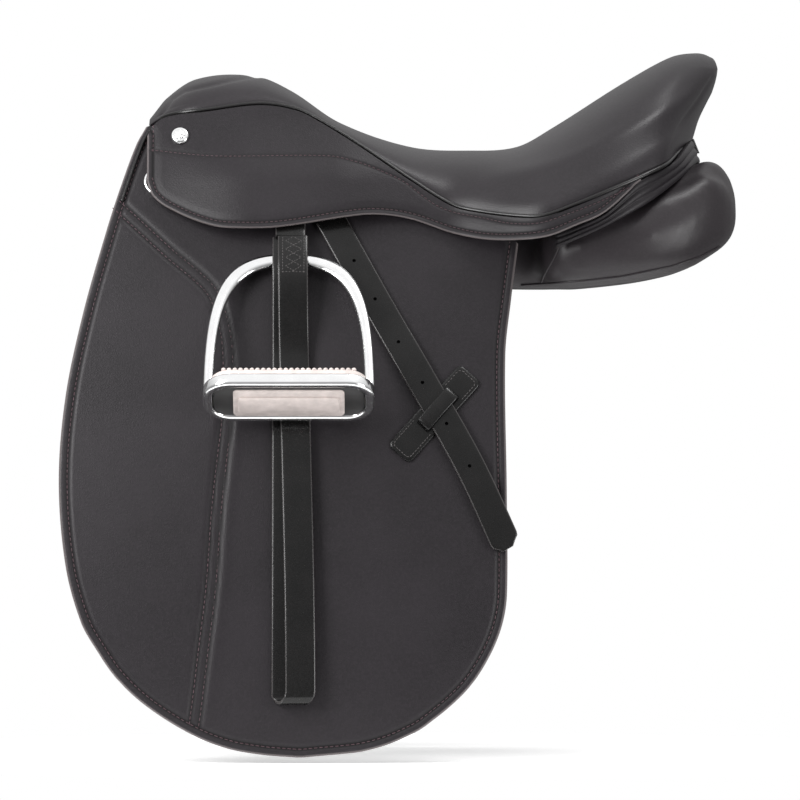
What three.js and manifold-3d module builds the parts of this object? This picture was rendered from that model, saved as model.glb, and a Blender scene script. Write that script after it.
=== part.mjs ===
// English dressage saddle with run-up stirrups, in millimetres.
// +Z is up, the pommel points to -X and the horse's left (near) side is -Y.
// The origin lies at mid length, in the centre plane, at the height of the panels' bearing line.

import * as THREE from 'three';
import { mergeVertices } from 'three/addons/utils/BufferGeometryUtils.js';
import Module from 'manifold-3d';

const wasm = await Module();
wasm.setup();

// ---------------------------------------------------------------- driving dimensions

const GAP = 0.4;                     // clearance between pieces that lie on each other
const LEFT = -1;
const RIGHT = 1;

// The flaps lie on the side of a lying cylinder, like the horse's barrel.
const BARREL = { radius: 1500, centreY: -1302.8, centreZ: -438.3 };

// Heights over the flap's outer face (its "lift"), measured along the barrel's radius.
const FLAP = { inner: -5, outer: 0 };
const KNEE_BLOCK = { inner: -18, outer: FLAP.inner - GAP };
const BILLET = { inner: -14, outer: -10, lowZ: -318, highZ: 34 };
const SWEAT_FLAP = { inner: -22, outer: -18.4 };
const TREE_POINT = { inner: -32, outer: -24, front: -160, rear: -48, lowZ: 18, highZ: 104 };
const FRONT_PANEL = { inner: -42, outer: SWEAT_FLAP.inner - GAP };
const TAIL_STRAP = { start: 0.5, inner: 2.8, endZ: -214 };
const SKIRT = { front: -213, tip: 195, lift: 4, bulge: 11.6, thickness: 3.4 };

const STRAP = { width: 25, thickness: 3 };
const LEATHER_BOTTOM = { z: -336, lift: 7.2, radius: 5 };     // centre of the loop's lowest turn
const LEATHER_TOP = { z: 86, lift: 6.9, radius: 5 };          // centre of the turn over the bar
const FOLD_Z = 42;                   // the flaps fold outward about this line, just under the skirts
const FLAP_TOP_Z = 140;

const SEAT = { front: -214, rear: 264, cover: 2.4, foam: 12, cantleHalfWidth: 146, flare: 36 };
const TREE = { thickness: 13, front: 0.13, rear: 0.87, railWidth: 0.26 };
const GULLET_PLATE = { front: -176, depth: 36 };
const PANEL = { front: -196, rear: 284 };
const GULLET_HALF_WIDTH = 31;

const IRON = {
  x: -93.5, topZ: 41, restAngle: 13.5, width: 142, height: 160, bar: 8.5, depth: 7, eye: 17,
};
const BAR = { front: -128, rear: -64.6, z: 84, size: 5, lift: 4.8, catchX: -60.6, plateDepth: 21.5 };
const BUCKLE = { z: 66, lift: 14.6, width: 42, height: 26 };
const KEEPER = { x: 27, z: -102, tilt: 48, length: 90, width: 24 };
const NAILHEAD = { x: -186, z: 127.6 };
const DEE = { x: -203.5, z: 92, outer: 13, inner: 9.5 };
const CANTLE_BAND = { front: 128, rear: 254, thickness: 4 };
const TREAD = { depth: 60, height: 11, proud: 10, below: 3 };

// ---------------------------------------------------------------- curves

// A smooth function through [input, output] pairs, with input rising.
function through(pairs) {
  const slopes = pairs.map((pair, i) => {
    const before = pairs[Math.max(i - 1, 0)];
    const after = pairs[Math.min(i + 1, pairs.length - 1)];
    return (after[1] - before[1]) / (after[0] - before[0]);
  });
  return (input) => {
    const last = pairs.length - 2;
    let i = pairs.findIndex((pair) => pair[0] > input) - 1;
    if (i < 0) i = input < pairs[0][0] ? 0 : last;
    const span = pairs[i + 1][0] - pairs[i][0];
    const t = Math.min(Math.max((input - pairs[i][0]) / span, 0), 1);
    const curve = t * t * (3 - 2 * t);
    const lead = t * (1 - t) * (1 - t) * span * slopes[i];
    const trail = t * t * (t - 1) * span * slopes[i + 1];
    return pairs[i][1] + curve * (pairs[i + 1][1] - pairs[i][1]) + lead + trail;
  };
}

const lerp = THREE.MathUtils.lerp;
const smooth = THREE.MathUtils.smoothstep;

// A point on the barrel at height z of the flap's outer face, lifted off that face.
function onBarrel(side, x, z, lift) {
  const angle = Math.asin((z - BARREL.centreZ) / BARREL.radius);
  const reach = BARREL.radius + lift;
  return [
    x,
    side * (BARREL.centreY + reach * Math.cos(angle)),
    BARREL.centreZ + reach * Math.sin(angle),
  ];
}

const barrelHalfWidth = (z) => onBarrel(RIGHT, 0, z, 0)[1];

// How far the barrel's face at height z looks up, in radians.
const slopeAt = (z) => Math.asin((z - BARREL.centreZ) / BARREL.radius);

const weltZ = through([
  [-214, 142], [-196, 150], [-165, 154], [-119, 159.5], [-89, 155], [-70, 146], [-35, 124],
  [10, 93.5], [42, 74], [66, 68], [97, 64], [118, 64], [145, 73.5], [169, 83.5], [198, 96],
  [215, 104], [232, 110.5], [243, 115], [255, 122], [264, 131],
]);
const seatTopZ = through([
  [-214, 148], [-200, 166], [-174, 182], [-124, 184], [-93, 171], [-53, 144.5], [7, 124],
  [57, 121], [97, 124], [127, 140], [187, 178], [227, 200], [245, 203.5], [254, 201], [260, 194],
  [264, 170],
]);
const skirtLowZ = through([
  [-215, 98], [-209, 81], [-189.5, 67], [-158, 55], [-134, 53], [-102, 54], [-35, 64],
  [-12, 64], [10, 60], [42, 49], [70, 43.5], [98, 43], [122, 46], [145, 55], [169, 66], [198, 92],
]);
const flapFrontX = through([
  [-386, -88], [-384, -114], [-379, -143], [-367, -174], [-344, -211], [-321, -236],
  [-297, -253], [-274, -266], [-227, -279], [-157, -285], [-87, -280], [-17, -266],
  [53, -247], [90, -235.5], [125, -223], [140, -215],
]);
const flapRearX = through([
  [-386, -82], [-381, -33], [-367, 7], [-354, 27], [-337, 47], [-321, 61], [-297, 75],
  [-274, 83.5], [-250, 87], [-169, 87], [-52, 86], [-5, 91], [41, 97],
]);
const bandLowZ = through([
  [124, 35], [142, 43], [169, 55], [204, 74], [225, 89], [251, 111],
]);
const bandHighZ = through([
  [124, 46], [145, 53], [169, 64], [190, 84], [198, 91], [218, 101], [231, 109], [241, 117.5],
  [254, 127.5],
]);

// Half the seat's width at its welt, which leaves the barrel to flare out towards the cantle.
function seatHalfWidth(x) {
  const [roundFrom, flaredAt] = [-165, 130];
  const body = barrelHalfWidth(weltZ(x)) + SEAT.flare * smooth(x, 35, flaredAt);
  if (x < roundFrom) {
    return body * Math.sqrt(1 - ((roundFrom - x) / 49.5) ** 2.4);
  }
  if (x > flaredAt) {
    return SEAT.cantleHalfWidth * Math.sqrt(1 - ((x - flaredAt) / (SEAT.rear - flaredAt)) ** 3.2);
  }
  return body;
}

// ---------------------------------------------------------------- solids

function geometryFrom(points, triangles) {
  const geometry = new THREE.BufferGeometry();
  geometry.setAttribute('position', new THREE.Float32BufferAttribute(points.flat(), 3));
  geometry.setIndex(triangles);
  return geometry;
}

function signedVolume(points, triangles) {
  let volume = 0;
  for (let i = 0; i < triangles.length; i += 3) {
    const [a, b, c] = [0, 1, 2].map((k) => new THREE.Vector3(...points[triangles[i + k]]));
    volume += a.dot(b.cross(c));
  }
  return volume;
}

// A closed slab between two grids of points. Each face is a function of (u, v) from 0 to 1.
function slab(uSteps, vSteps, innerFace, outerFace) {
  const points = [];
  const triangles = [];
  const columns = uSteps + 1;
  const layer = columns * (vSteps + 1);
  for (const face of [innerFace, outerFace]) {
    for (let j = 0; j <= vSteps; j += 1) {
      for (let i = 0; i <= uSteps; i += 1) points.push(face(i / uSteps, j / vSteps));
    }
  }
  const quad = (a, b, c, d) => triangles.push(a, b, c, a, c, d);
  const at = (i, j, k) => k * layer + j * columns + i;
  for (let j = 0; j < vSteps; j += 1) {
    for (let i = 0; i < uSteps; i += 1) {
      quad(at(i, j, 0), at(i, j + 1, 0), at(i + 1, j + 1, 0), at(i + 1, j, 0));
      quad(at(i, j, 1), at(i + 1, j, 1), at(i + 1, j + 1, 1), at(i, j + 1, 1));
    }
    quad(at(0, j, 0), at(0, j, 1), at(0, j + 1, 1), at(0, j + 1, 0));
    quad(at(uSteps, j, 0), at(uSteps, j + 1, 0), at(uSteps, j + 1, 1), at(uSteps, j, 1));
  }
  for (let i = 0; i < uSteps; i += 1) {
    quad(at(i, 0, 0), at(i + 1, 0, 0), at(i + 1, 0, 1), at(i, 0, 1));
    quad(at(i, vSteps, 0), at(i, vSteps, 1), at(i + 1, vSteps, 1), at(i + 1, vSteps, 0));
  }
  if (signedVolume(points, triangles) < 0) triangles.reverse();
  return geometryFrom(points, triangles);
}

// A slab on the barrel. place(u, v) gives [x, z], and lifts is { inner, outer }, numbers or functions.
function barrelSheet(side, uSteps, vSteps, place, lifts) {
  const liftAt = (lift, u, v) => (typeof lift === 'function' ? lift(u, v) : lift);
  return slab(
    uSteps,
    vSteps,
    (u, v) => onBarrel(side, ...place(u, v), liftAt(lifts.inner, u, v)),
    (u, v) => onBarrel(side, ...place(u, v), liftAt(lifts.outer, u, v)),
  );
}

function asManifold(geometry) {
  const bare = geometry.clone();
  bare.deleteAttribute('normal');
  bare.deleteAttribute('uv');
  const merged = mergeVertices(bare, 1e-4);
  return new wasm.Manifold(new wasm.Mesh({
    numProp: 3,
    vertProperties: new Float32Array(merged.attributes.position.array),
    triVerts: new Uint32Array(merged.index.array),
  }));
}

function fromManifold(manifold) {
  const mesh = manifold.getMesh();
  const geometry = new THREE.BufferGeometry();
  geometry.setAttribute('position', new THREE.BufferAttribute(mesh.vertProperties, 3));
  geometry.setIndex(Array.from(mesh.triVerts));
  return geometry;
}

function joined(...geometries) {
  return fromManifold(geometries.map(asManifold).reduce((all, next) => all.add(next)));
}

function cut(geometry, ...tools) {
  const solid = asManifold(geometry);
  return fromManifold(tools.map(asManifold).reduce((all, next) => all.subtract(next), solid));
}

function boxAt(x0, x1, y0, y1, z0, z1) {
  const box = new THREE.BoxGeometry(Math.abs(x1 - x0), Math.abs(y1 - y0), Math.abs(z1 - z0));
  return box.translate((x0 + x1) / 2, (y0 + y1) / 2, (z0 + z1) / 2);
}

// A rectangle with round ends or corners, centred on the origin.
function roundedRectangle(width, height, radius, Kind = THREE.Shape) {
  const [w, h] = [width / 2, height / 2];
  const outline = new Kind();
  outline.moveTo(-w + radius, -h);
  outline.lineTo(w - radius, -h);
  outline.absarc(w - radius, -h + radius, radius, -Math.PI / 2, 0);
  outline.lineTo(w, h - radius);
  outline.absarc(w - radius, h - radius, radius, 0, Math.PI / 2);
  outline.lineTo(-w + radius, h);
  outline.absarc(-w + radius, h - radius, radius, Math.PI / 2, Math.PI);
  outline.lineTo(-w, -h + radius);
  outline.absarc(-w + radius, -h + radius, radius, Math.PI, 1.5 * Math.PI);
  return outline;
}

function extruded(shape, depth, curveSegments = 5) {
  return new THREE.ExtrudeGeometry(shape, { depth, curveSegments, bevelEnabled: false });
}

// ---------------------------------------------------------------- materials and placing

const group = new THREE.Group();

function material(color, roughness, metalness = 0) {
  return new THREE.MeshStandardMaterial({ color, roughness, metalness });
}

const MATERIALS = {
  leather: material(0x2a2526, 0.5),
  seatLeather: material(0x332d2f, 0.55),
  strapLeather: material(0x171415, 0.3),
  panelLeather: material(0x262223, 0.6),
  foam: material(0xd8c98c, 0.9),
  webbing: material(0xcfc4a8, 0.9),
  wood: material(0xa9835a, 0.7),
  steel: material(0xb8bcc0, 0.35, 1),
  chrome: material(0xe6e8ea, 0.12, 1),
  rubber: material(0xc9bcb6, 0.8),
};

function add(name, geometry, finish, parent = group) {
  const mesh = new THREE.Mesh(geometry, MATERIALS[finish]);
  mesh.name = name;
  parent.add(mesh);
  return mesh;
}

const sideName = (side) => (side === LEFT ? 'left' : 'right');

function addPair(name, shape, finish) {
  for (const side of [LEFT, RIGHT]) add(`${name}_${sideName(side)}`, shape(side), finish);
}

// ---------------------------------------------------------------- seat and tree

// The seat's dome. u runs from the pommel to the cantle, v from the left welt to the right one.
// Deeper layers are smaller copies, and under the cantle the dome leans forward over its welt.
function domePoint(depth, u, v) {
  const along = 0.5 - 0.5 * Math.cos(Math.PI * u);
  const x = lerp(SEAT.front, SEAT.rear, along);
  const half = seatHalfWidth(x) * (1 - depth / SEAT.cantleHalfWidth) - 0.25 * depth;
  const across = 2 * v - 1;
  const rise = (1 - Math.abs(across) ** 2.6) ** 0.6;
  const crown = Math.max(seatTopZ(x) - depth - weltZ(x), 0.5);
  const z = weltZ(x) + crown * rise;
  const undercut = 0.3 * Math.max(190 - z, 0) * smooth(x, 212, SEAT.rear);
  return [
    lerp(x - undercut, (SEAT.front + SEAT.rear) / 2, depth / 230),
    across * Math.max(half, 1),
    z,
  ];
}

function domeShell(outerDepth, innerDepth) {
  return slab(
    22,
    12,
    (u, v) => domePoint(innerDepth, u, v),
    (u, v) => domePoint(outerDepth, u, v),
  );
}

function seatFoam() {
  const top = SEAT.cover + GAP;
  return domeShell(top, top + SEAT.foam);
}

// The tree is a ring of laminated wood under the seat's rim.
const TREE_TOP = SEAT.cover + SEAT.foam + 4;

function treeRail(turn, across, depth) {
  const angle = 2 * Math.PI * turn;
  const u = lerp(TREE.front, TREE.rear, 0.5 - 0.5 * Math.cos(angle));
  const half = 0.5 * (1 - TREE.railWidth * across) * Math.sin(angle);
  const spread = Math.sign(half) * Math.abs(half) ** 0.6;
  return domePoint(TREE_TOP + depth, lerp(u, 0.5, 0.24 * across), 0.5 + 0.56 * spread);
}

function treeRing() {
  const steps = 40;
  const points = [];
  const triangles = [];
  for (let i = 0; i < steps; i += 1) {
    const turn = i / steps;
    points.push(treeRail(turn, 0, 0), treeRail(turn, 1, 0));
    points.push(treeRail(turn, 1, TREE.thickness), treeRail(turn, 0, TREE.thickness));
    for (let k = 0; k < 4; k += 1) {
      const [a, b] = [4 * i + k, 4 * i + ((k + 1) % 4)];
      const [c, d] = [a, b].map((index) => (index + 4) % (4 * steps));
      triangles.push(a, b, d, a, d, c);
    }
  }
  if (signedVolume(points, triangles) < 0) triangles.reverse();
  return geometryFrom(points, triangles);
}

function seatWebbing() {
  const at = (u, v) => [lerp(0.3, 0.72, u), lerp(0.32, 0.68, v)];
  return slab(
    10,
    4,
    (u, v) => domePoint(TREE_TOP + 2, ...at(u, v)),
    (u, v) => domePoint(TREE_TOP - 0.2, ...at(u, v)),
  );
}

// The steel arch under the pommel, over the withers.
function gulletPlate() {
  const arch = new THREE.Shape();
  arch.moveTo(-64, 84);
  arch.quadraticCurveTo(-50, 136, 0, 138);
  arch.quadraticCurveTo(50, 136, 64, 84);
  arch.lineTo(57, 84);
  arch.quadraticCurveTo(44, 128, 0, 130);
  arch.quadraticCurveTo(-44, 128, -57, 84);
  const plate = extruded(arch, GULLET_PLATE.depth, 8);
  plate.rotateX(Math.PI / 2).rotateZ(Math.PI / 2);
  return plate.translate(GULLET_PLATE.front, 0, 0);
}

function treePoint(side) {
  const { front, rear, lowZ, highZ } = TREE_POINT;
  const place = (u, v) => [lerp(front, rear, u), lerp(lowZ, highZ, v)];
  return barrelSheet(side, 1, 4, place, TREE_POINT);
}

// ---------------------------------------------------------------- panels

const panelLowZ = through([
  [-196, 64], [-150, 40], [-90, 18], [-20, 4], [60, 0], [107, 0.8], [167, 4], [207, 9],
  [240, 18], [260, 30], [275, 42], [284, 60],
]);
const panelHighZ = through([
  [-196, 78], [-150, 66], [-90, 60], [-20, 56], [60, 58], [120, 60], [160, 70], [200, 84],
  [225, 94], [236, 97], [248, 104], [256, 110], [263, 109], [270, 103], [278, 91], [284, 70],
]);
const panelOuterY = through([
  [-196, 62], [-150, 66], [-90, 76], [-20, 86], [60, 90], [112, 94], [130, 128], [170, 136],
  [220, 134], [255, 118], [275, 92], [284, 62],
]);

// A cushion along the gullet: round below, flatter above, and highest along the gullet's edge.
function panel(side) {
  const plan = (u, v) => {
    const x = lerp(PANEL.front, PANEL.rear, u);
    return [x, side * lerp(GULLET_HALF_WIDTH, panelOuterY(x), v)];
  };
  const rolled = (v, power = 3) => (1 - Math.abs(2 * v - 1) ** power) ** 0.5;
  const low = (u, v) => {
    const [x, y] = plan(u, v);
    const middle = (panelLowZ(x) + panelHighZ(x)) / 2;
    const slope = 16 * (1 - v);
    return [x, y, middle + (panelLowZ(x) - middle) * rolled(v) + slope * rolled(v) * (1 - u * u) - 1];
  };
  const high = (u, v) => {
    const [x, y] = plan(u, v);
    const middle = (panelLowZ(x) + panelHighZ(x)) / 2;
    const fall = 14 * smooth(v, 0.45, 0.85) * smooth(x, 150, 230);
    return [x, y, middle + (panelHighZ(x) - fall - middle) * rolled(v, 14) + 1];
  };
  return slab(24, 6, low, high);
}

// The cushion behind the sweat flap. It wraps the tree point's front and inner faces, so a row
// and a column of its grid run just outside the tree point's low and front edges.
function frontPanel(side) {
  const columns = [-206, -184, -163, -140, -115, -90, -66, -50];
  const rows = [-190, -160, -130, -100, -70, -40, -8, 15, 38, 62, 84];
  const place = (u, v) => {
    const z = rows[Math.round(v * 10)];
    const x = columns[Math.round(u * 7)];
    const taper = Math.max(-z - 90, 0);
    const atPommel = 10 * smooth(z, 20, 60) * (u === 0 ? 1 : 0);
    return [x + lerp(0.5, -0.3, u) * taper + atPommel, z];
  };
  const outer = (u, v) => (v > 0.65 && u > 0.2 ? TREE_POINT.inner - GAP : FRONT_PANEL.outer);
  const swell = (u, v) => Math.max(
    FRONT_PANEL.outer - lerp(6, 18, Math.sin(Math.PI * u) ** 0.5 * Math.min(3 * v, 1)),
    FRONT_PANEL.inner + 1,
  );
  const inner = (u, v) => Math.min(swell(u, v), outer(u, v) - 4);
  return barrelSheet(side, 7, 10, place, { inner, outer });
}

// ---------------------------------------------------------------- flaps

// One stretch of a flap between two heights, with its rows closer together towards the round hem.
function flapSheet(side, lowZ, highZ, inset, lifts, steps) {
  const place = (u, v) => {
    const z = lerp(lowZ, highZ, v ** 1.6);
    return [lerp(flapFrontX(z) + inset, flapRearX(z) - inset, u), z];
  };
  return barrelSheet(side, 1, steps, place, lifts);
}

const flapLower = (side) => flapSheet(side, -386, FOLD_Z - GAP, 0, FLAP, 22);

function barWindow(side) {
  return boxAt(BAR.front - 6, BAR.rear + 10, side * 60, side * 160, BAR.z - 8, BAR.z + 8);
}

// The part of the flap that stays put under the skirt, with the window for the stirrup bar.
function flapTop(side) {
  const rear = through([[42, 97], [60, 62], [80, 24], [100, -6], [125, -44], [140, -70]]);
  const place = (u, v) => {
    const z = lerp(FOLD_Z, FLAP_TOP_Z, v);
    return [lerp(flapFrontX(z), rear(z), u), z];
  };
  return cut(barrelSheet(side, 1, 8, place, FLAP), barWindow(side));
}

function sweatFlap(side) {
  const inset = 12;
  const place = (u, v) => {
    const z = lerp(-386 + inset, 86, v ** 1.6);
    const front = flapFrontX(z - inset * (1 - v)) + inset;
    const rear = flapRearX(Math.min(z - inset * (1 - v), 41)) - inset;
    return [lerp(front, rear - 0.6 * Math.max(z - FOLD_Z, 0), u), z];
  };
  return cut(barrelSheet(side, 1, 20, place, SWEAT_FLAP), barWindow(side));
}

// A long block under the flap's front, with round ends and a crown that falls to its rim.
function kneeBlock(side) {
  const width = 64;
  const place = (u, v) => {
    const z = lerp(-268, FOLD_Z - 12, v);
    const halfRound = Math.sqrt(1 - Math.abs(2 * v - 1) ** 4) * 0.5;
    return [-216 - 14 * Math.sin(Math.PI * v) + width * halfRound * (2 * u - 1), z];
  };
  const crown = (u, v) => {
    const fall = Math.abs(2 * u - 1) ** 4 + Math.abs(2 * v - 1) ** 6;
    return KNEE_BLOCK.outer - 6 * Math.min(fall, 1);
  };
  const shrink = (u, v) => place(u, lerp(0.02, 0.98, v));
  return barrelSheet(side, 6, 12, shrink, { inner: KNEE_BLOCK.inner, outer: crown });
}

// ---------------------------------------------------------------- skirts

// The skirts bulge over the stirrup leathers and the bars.
function skirtLift(x, z) {
  const over = smooth(x, -166, -130) * (1 - smooth(x, -54, -20)) * (1 - smooth(z, 102, 142));
  return SKIRT.lift + SKIRT.bulge * over;
}

function onSkirt(side, x, z, lift) {
  const [, y, height] = onBarrel(side, x, z, lift);
  return [x, y + side * SEAT.flare * smooth(x, 35, 130), height];
}

// The line that the lower part of the skirt folds about, falling from the pommel to the waist.
const skirtFoldZ = (x) => lerp(120, 58, (x + 214) / 314);
const SKIRT_STEP = 12;
const SKIRT_FOLD_END = SKIRT.front + 24 * SKIRT_STEP;

function skirtSheet(side, x0, x1, lowZ, highZ) {
  const steps = Math.round((x1 - x0) / SKIRT_STEP);
  const point = (extra) => (u, v) => {
    const x = lerp(x0, x1, u);
    const z = lerp(lowZ(x), highZ(x), v);
    return onSkirt(side, x, z, skirtLift(x, z) + extra);
  };
  return slab(steps, 3, point(0), point(SKIRT.thickness));
}

function skirtMoving(side) {
  const high = (x) => skirtFoldZ(x) - GAP;
  const low = (x) => Math.min(skirtLowZ(x), high(x) - 2);
  return skirtSheet(side, SKIRT.front, SKIRT_FOLD_END - GAP, low, high);
}

function skirtFixed(side) {
  const behindFold = (x) => Math.min(skirtLowZ(x), weltZ(x) - 4);
  const low = (x) => (x < SKIRT_FOLD_END + 1 ? skirtFoldZ(x) : behindFold(x));
  const roundCorner = (x) => lerp(137, 220, smooth(x, SKIRT.front, SKIRT.front + 18));
  const high = (x) => Math.max(Math.min(weltZ(x) - 3, roundCorner(x)), low(x) + 2);
  return skirtSheet(side, SKIRT.front, SKIRT.tip, low, high);
}

// ---------------------------------------------------------------- stirrup bars and leathers

// A C of steel seen from above: plate on the tree point, front arm, and the bar, open to the rear.
function stirrupBar(side) {
  const barY = barrelHalfWidth(BAR.z) + BAR.lift + BAR.size / 2;
  const plateY = barrelHalfWidth(BAR.z) - BAR.plateDepth;
  const half = BAR.size / 2;
  return joined(
    boxAt(BAR.front, BAR.rear, side * plateY, side * (plateY + 3), BAR.z - half - 4, BAR.z + half + 4),
    boxAt(BAR.front, BAR.front + 6, side * plateY, side * (barY + half), BAR.z - half, BAR.z + half),
    boxAt(BAR.front, BAR.rear, side * (barY - half), side * (barY + half), BAR.z - half, BAR.z + half),
  );
}

// The thumb catch that stands up at the bar's open end, and folds back in line with the bar.
function barCatch(side) {
  const barY = side * (barrelHalfWidth(BAR.z) + BAR.lift);
  const half = 2.6;
  return boxAt(
    BAR.catchX - half, BAR.catchX + half, barY, barY + side * BAR.size, BAR.z - 2.5, BAR.z + 9,
  );
}

// A strap that follows a path of [z, lift] over the barrel. xAt(i) is its centre line.
function strapAlong(side, path, xAt) {
  const normals = path.map((here, i) => {
    const before = path[Math.max(i - 1, 0)];
    const after = path[Math.min(i + 1, path.length - 1)];
    const normal = new THREE.Vector2(-(after[1] - before[1]), after[0] - before[0]);
    return normal.normalize().multiplyScalar(STRAP.thickness / 2);
  });
  const face = (sign) => (u, v) => {
    const i = Math.round(v * (path.length - 1));
    const [z, lift] = path[i];
    const x = xAt(i) + STRAP.width * (u - 0.5);
    return onBarrel(side, x, z + sign * normals[i].x, lift + sign * normals[i].y);
  };
  return slab(1, path.length - 1, face(-1), face(1));
}

// Points on a half circle in the [z, lift] plane.
function halfTurn(z, lift, radius, from, to, steps) {
  return Array.from({ length: steps + 1 }, (_, i) => {
    const angle = lerp(from, to, i / steps);
    return [z + radius * Math.sin(angle), lift + radius * Math.cos(angle)];
  });
}

// The hanging loop: over the arch of the iron, behind its tread, round the bottom and up again.
function leatherLoop(side) {
  const { z: bottomZ, lift, radius } = LEATHER_BOTTOM;
  const innerLift = through([
    [bottomZ, lift - radius], [-60, 2.2], [-48, 3], [6, 16.4], [24, 15], [42, 10],
  ]);
  const outerLift = through([
    [bottomZ, lift + radius], [-130, 8], [-60, 5.8], [-48, 6.6], [6, 20], [24, 18.6], [42, 13.6],
  ]);
  const levels = [41.6, 33, 24, 15, 6, -10, -29, -48, -60, -90, -130, -180, -230, -280, -320];
  const bottom = halfTurn(bottomZ, lift, radius, Math.PI, 2 * Math.PI, 8);
  const down = levels.map((z) => [z, innerLift(z)]);
  const up = levels.map((z) => [z, outerLift(z)]).reverse();
  const path = [...down, ...bottom, ...up];
  const drift = (z) => lerp(-84, -91, smooth(z, bottomZ, 42));
  return strapAlong(side, path, (i) => (i < down.length + 4 ? -95 : drift(path[i][0])));
}

// The leather's top, fixed under the skirt: up behind the bar, over it and down in front.
function leatherTop(side) {
  const down = [[42, 10], [50, 5.4], [58, 2.2], [70, 1.9], [78, 1.9]];
  const up = [[86, 11.9], [76, 11.9], [64, 10.4], [50, 11.6], [42, 13.6]];
  const { z, lift, radius } = LEATHER_TOP;
  const over = halfTurn(z, lift, radius, Math.PI, 0, 6).slice(0, -1);
  return strapAlong(side, [...down, ...over, ...up], () => -93);
}

// The buckle that joins the leather, close under the bar, outside the front strand.
function buckle(side) {
  const frame = roundedRectangle(BUCKLE.width, BUCKLE.height, 4);
  frame.holes.push(roundedRectangle(BUCKLE.width - 10, BUCKLE.height - 10, 2, THREE.Path));
  const plate = extruded(frame, 1.2, 2).rotateX(Math.PI / 2);
  plate.translate(0, 0.6, 0).rotateX(side * slopeAt(BUCKLE.z));
  return plate.translate(-93, ...onBarrel(side, 0, BUCKLE.z, BUCKLE.lift).slice(1));
}

// The leather's free end on the flap, through the keeper, to a blunt point.
function tailPoint(along, across) {
  const route = through([[0, -49.5], [0.19, -22.5], [0.46, 17], [0.73, 56], [1, 88]]);
  const level = (t) => lerp(FOLD_Z - GAP, TAIL_STRAP.endZ, t);
  const tip = 1 - 0.35 * smooth(along, 0.965, 1) ** 2;
  return [route(along) + 10.8 * tip * across, level(along) + 6.3 * tip * across];
}

function leatherTail(side) {
  const place = (u, v) => {
    const [x, z] = tailPoint(v, 2 * u - 1);
    return [x, Math.min(z, FOLD_Z - GAP)];
  };
  const rise = (u, v) => lerp(TAIL_STRAP.start, TAIL_STRAP.inner, smooth(v, 0.25, 0.42));
  return barrelSheet(side, 1, 14, place, { inner: rise, outer: (u, v) => rise(u, v) + STRAP.thickness });
}

// The keeper: a base plate stitched to the flap and a loop that holds the leather's tail.
function keeper(side) {
  const tilt = THREE.MathUtils.degToRad(KEEPER.tilt);
  const [halfLength, halfWidth] = [KEEPER.length / 2, KEEPER.width / 2];
  const turned = (a, b) => [
    KEEPER.x + a * Math.cos(tilt) - b * Math.sin(tilt),
    KEEPER.z + a * Math.sin(tilt) + b * Math.cos(tilt),
  ];
  const block = (a0, a1, b0, b1, lifts, steps) => {
    const place = (u, v) => turned(lerp(a0, a1, u), lerp(b0, b1, v));
    return barrelSheet(side, steps, 1, place, lifts);
  };
  const loop = { middle: 4.2, half: 17, wall: 3, width: 7 };
  const [near, far] = [loop.middle - loop.half, loop.middle + loop.half];
  const base = { inner: GAP, outer: TAIL_STRAP.inner - GAP };
  return joined(
    block(-halfLength, halfLength, -halfWidth, halfWidth, base, 4),
    block(near - loop.wall, near, -loop.width, loop.width, { inner: 1, outer: 8.4 }, 1),
    block(far, far + loop.wall, -loop.width, loop.width, { inner: 1, outer: 8.4 }, 1),
    block(near - 1, far + 1, -loop.width, loop.width, { inner: 6.3, outer: 8.4 }, 2),
  );
}

// ---------------------------------------------------------------- stirrup irons

// The iron in its own plane: x across, y down from the top of the eye. A plain arch with an eye.
function ironArch() {
  const half = IRON.width / 2;
  const foot = -(IRON.height - TREAD.height) - 0.5;
  const arch = new THREE.Shape();
  arch.moveTo(-half, foot);
  arch.bezierCurveTo(-half, -62, -half + 11, -20, -IRON.eye, -14);
  arch.lineTo(-IRON.eye, 0);
  arch.lineTo(IRON.eye, 0);
  arch.lineTo(IRON.eye, -14);
  arch.bezierCurveTo(half - 11, -20, half, -62, half, foot);
  arch.lineTo(half - IRON.bar, foot);
  arch.bezierCurveTo(half - IRON.bar, -68, half - 20, -30, 10, -25);
  arch.lineTo(-10, -25);
  arch.bezierCurveTo(-half + 20, -30, -half + IRON.bar, -68, -half + IRON.bar, foot);
  const eye = new THREE.Path();
  const slot = IRON.eye - 3.4;
  eye.moveTo(-slot, -5);
  eye.lineTo(-slot, -13.5);
  eye.lineTo(slot, -13.5);
  eye.lineTo(slot, -5);
  arch.holes.push(eye);
  return extruded(arch, IRON.depth, 9).translate(0, 0, -IRON.depth / 2);
}

function treadRing() {
  const ring = roundedRectangle(IRON.width, TREAD.depth, 22);
  ring.holes.push(roundedRectangle(IRON.width - 18, TREAD.depth - 12, 16, THREE.Path));
  const body = extruded(ring, TREAD.height, 5).rotateX(Math.PI / 2);
  return body.translate(0, -(IRON.height - TREAD.height), 0);
}

// The rubber tread fills the ring and stands out above and below it.
function treadPad() {
  const pad = roundedRectangle(IRON.width - 19, TREAD.depth - 13, 15.5);
  const body = extruded(pad, TREAD.proud + TREAD.height + TREAD.below, 5).rotateX(Math.PI / 2);
  return body.translate(0, -(IRON.height - TREAD.height) + TREAD.proud, 0);
}

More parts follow.
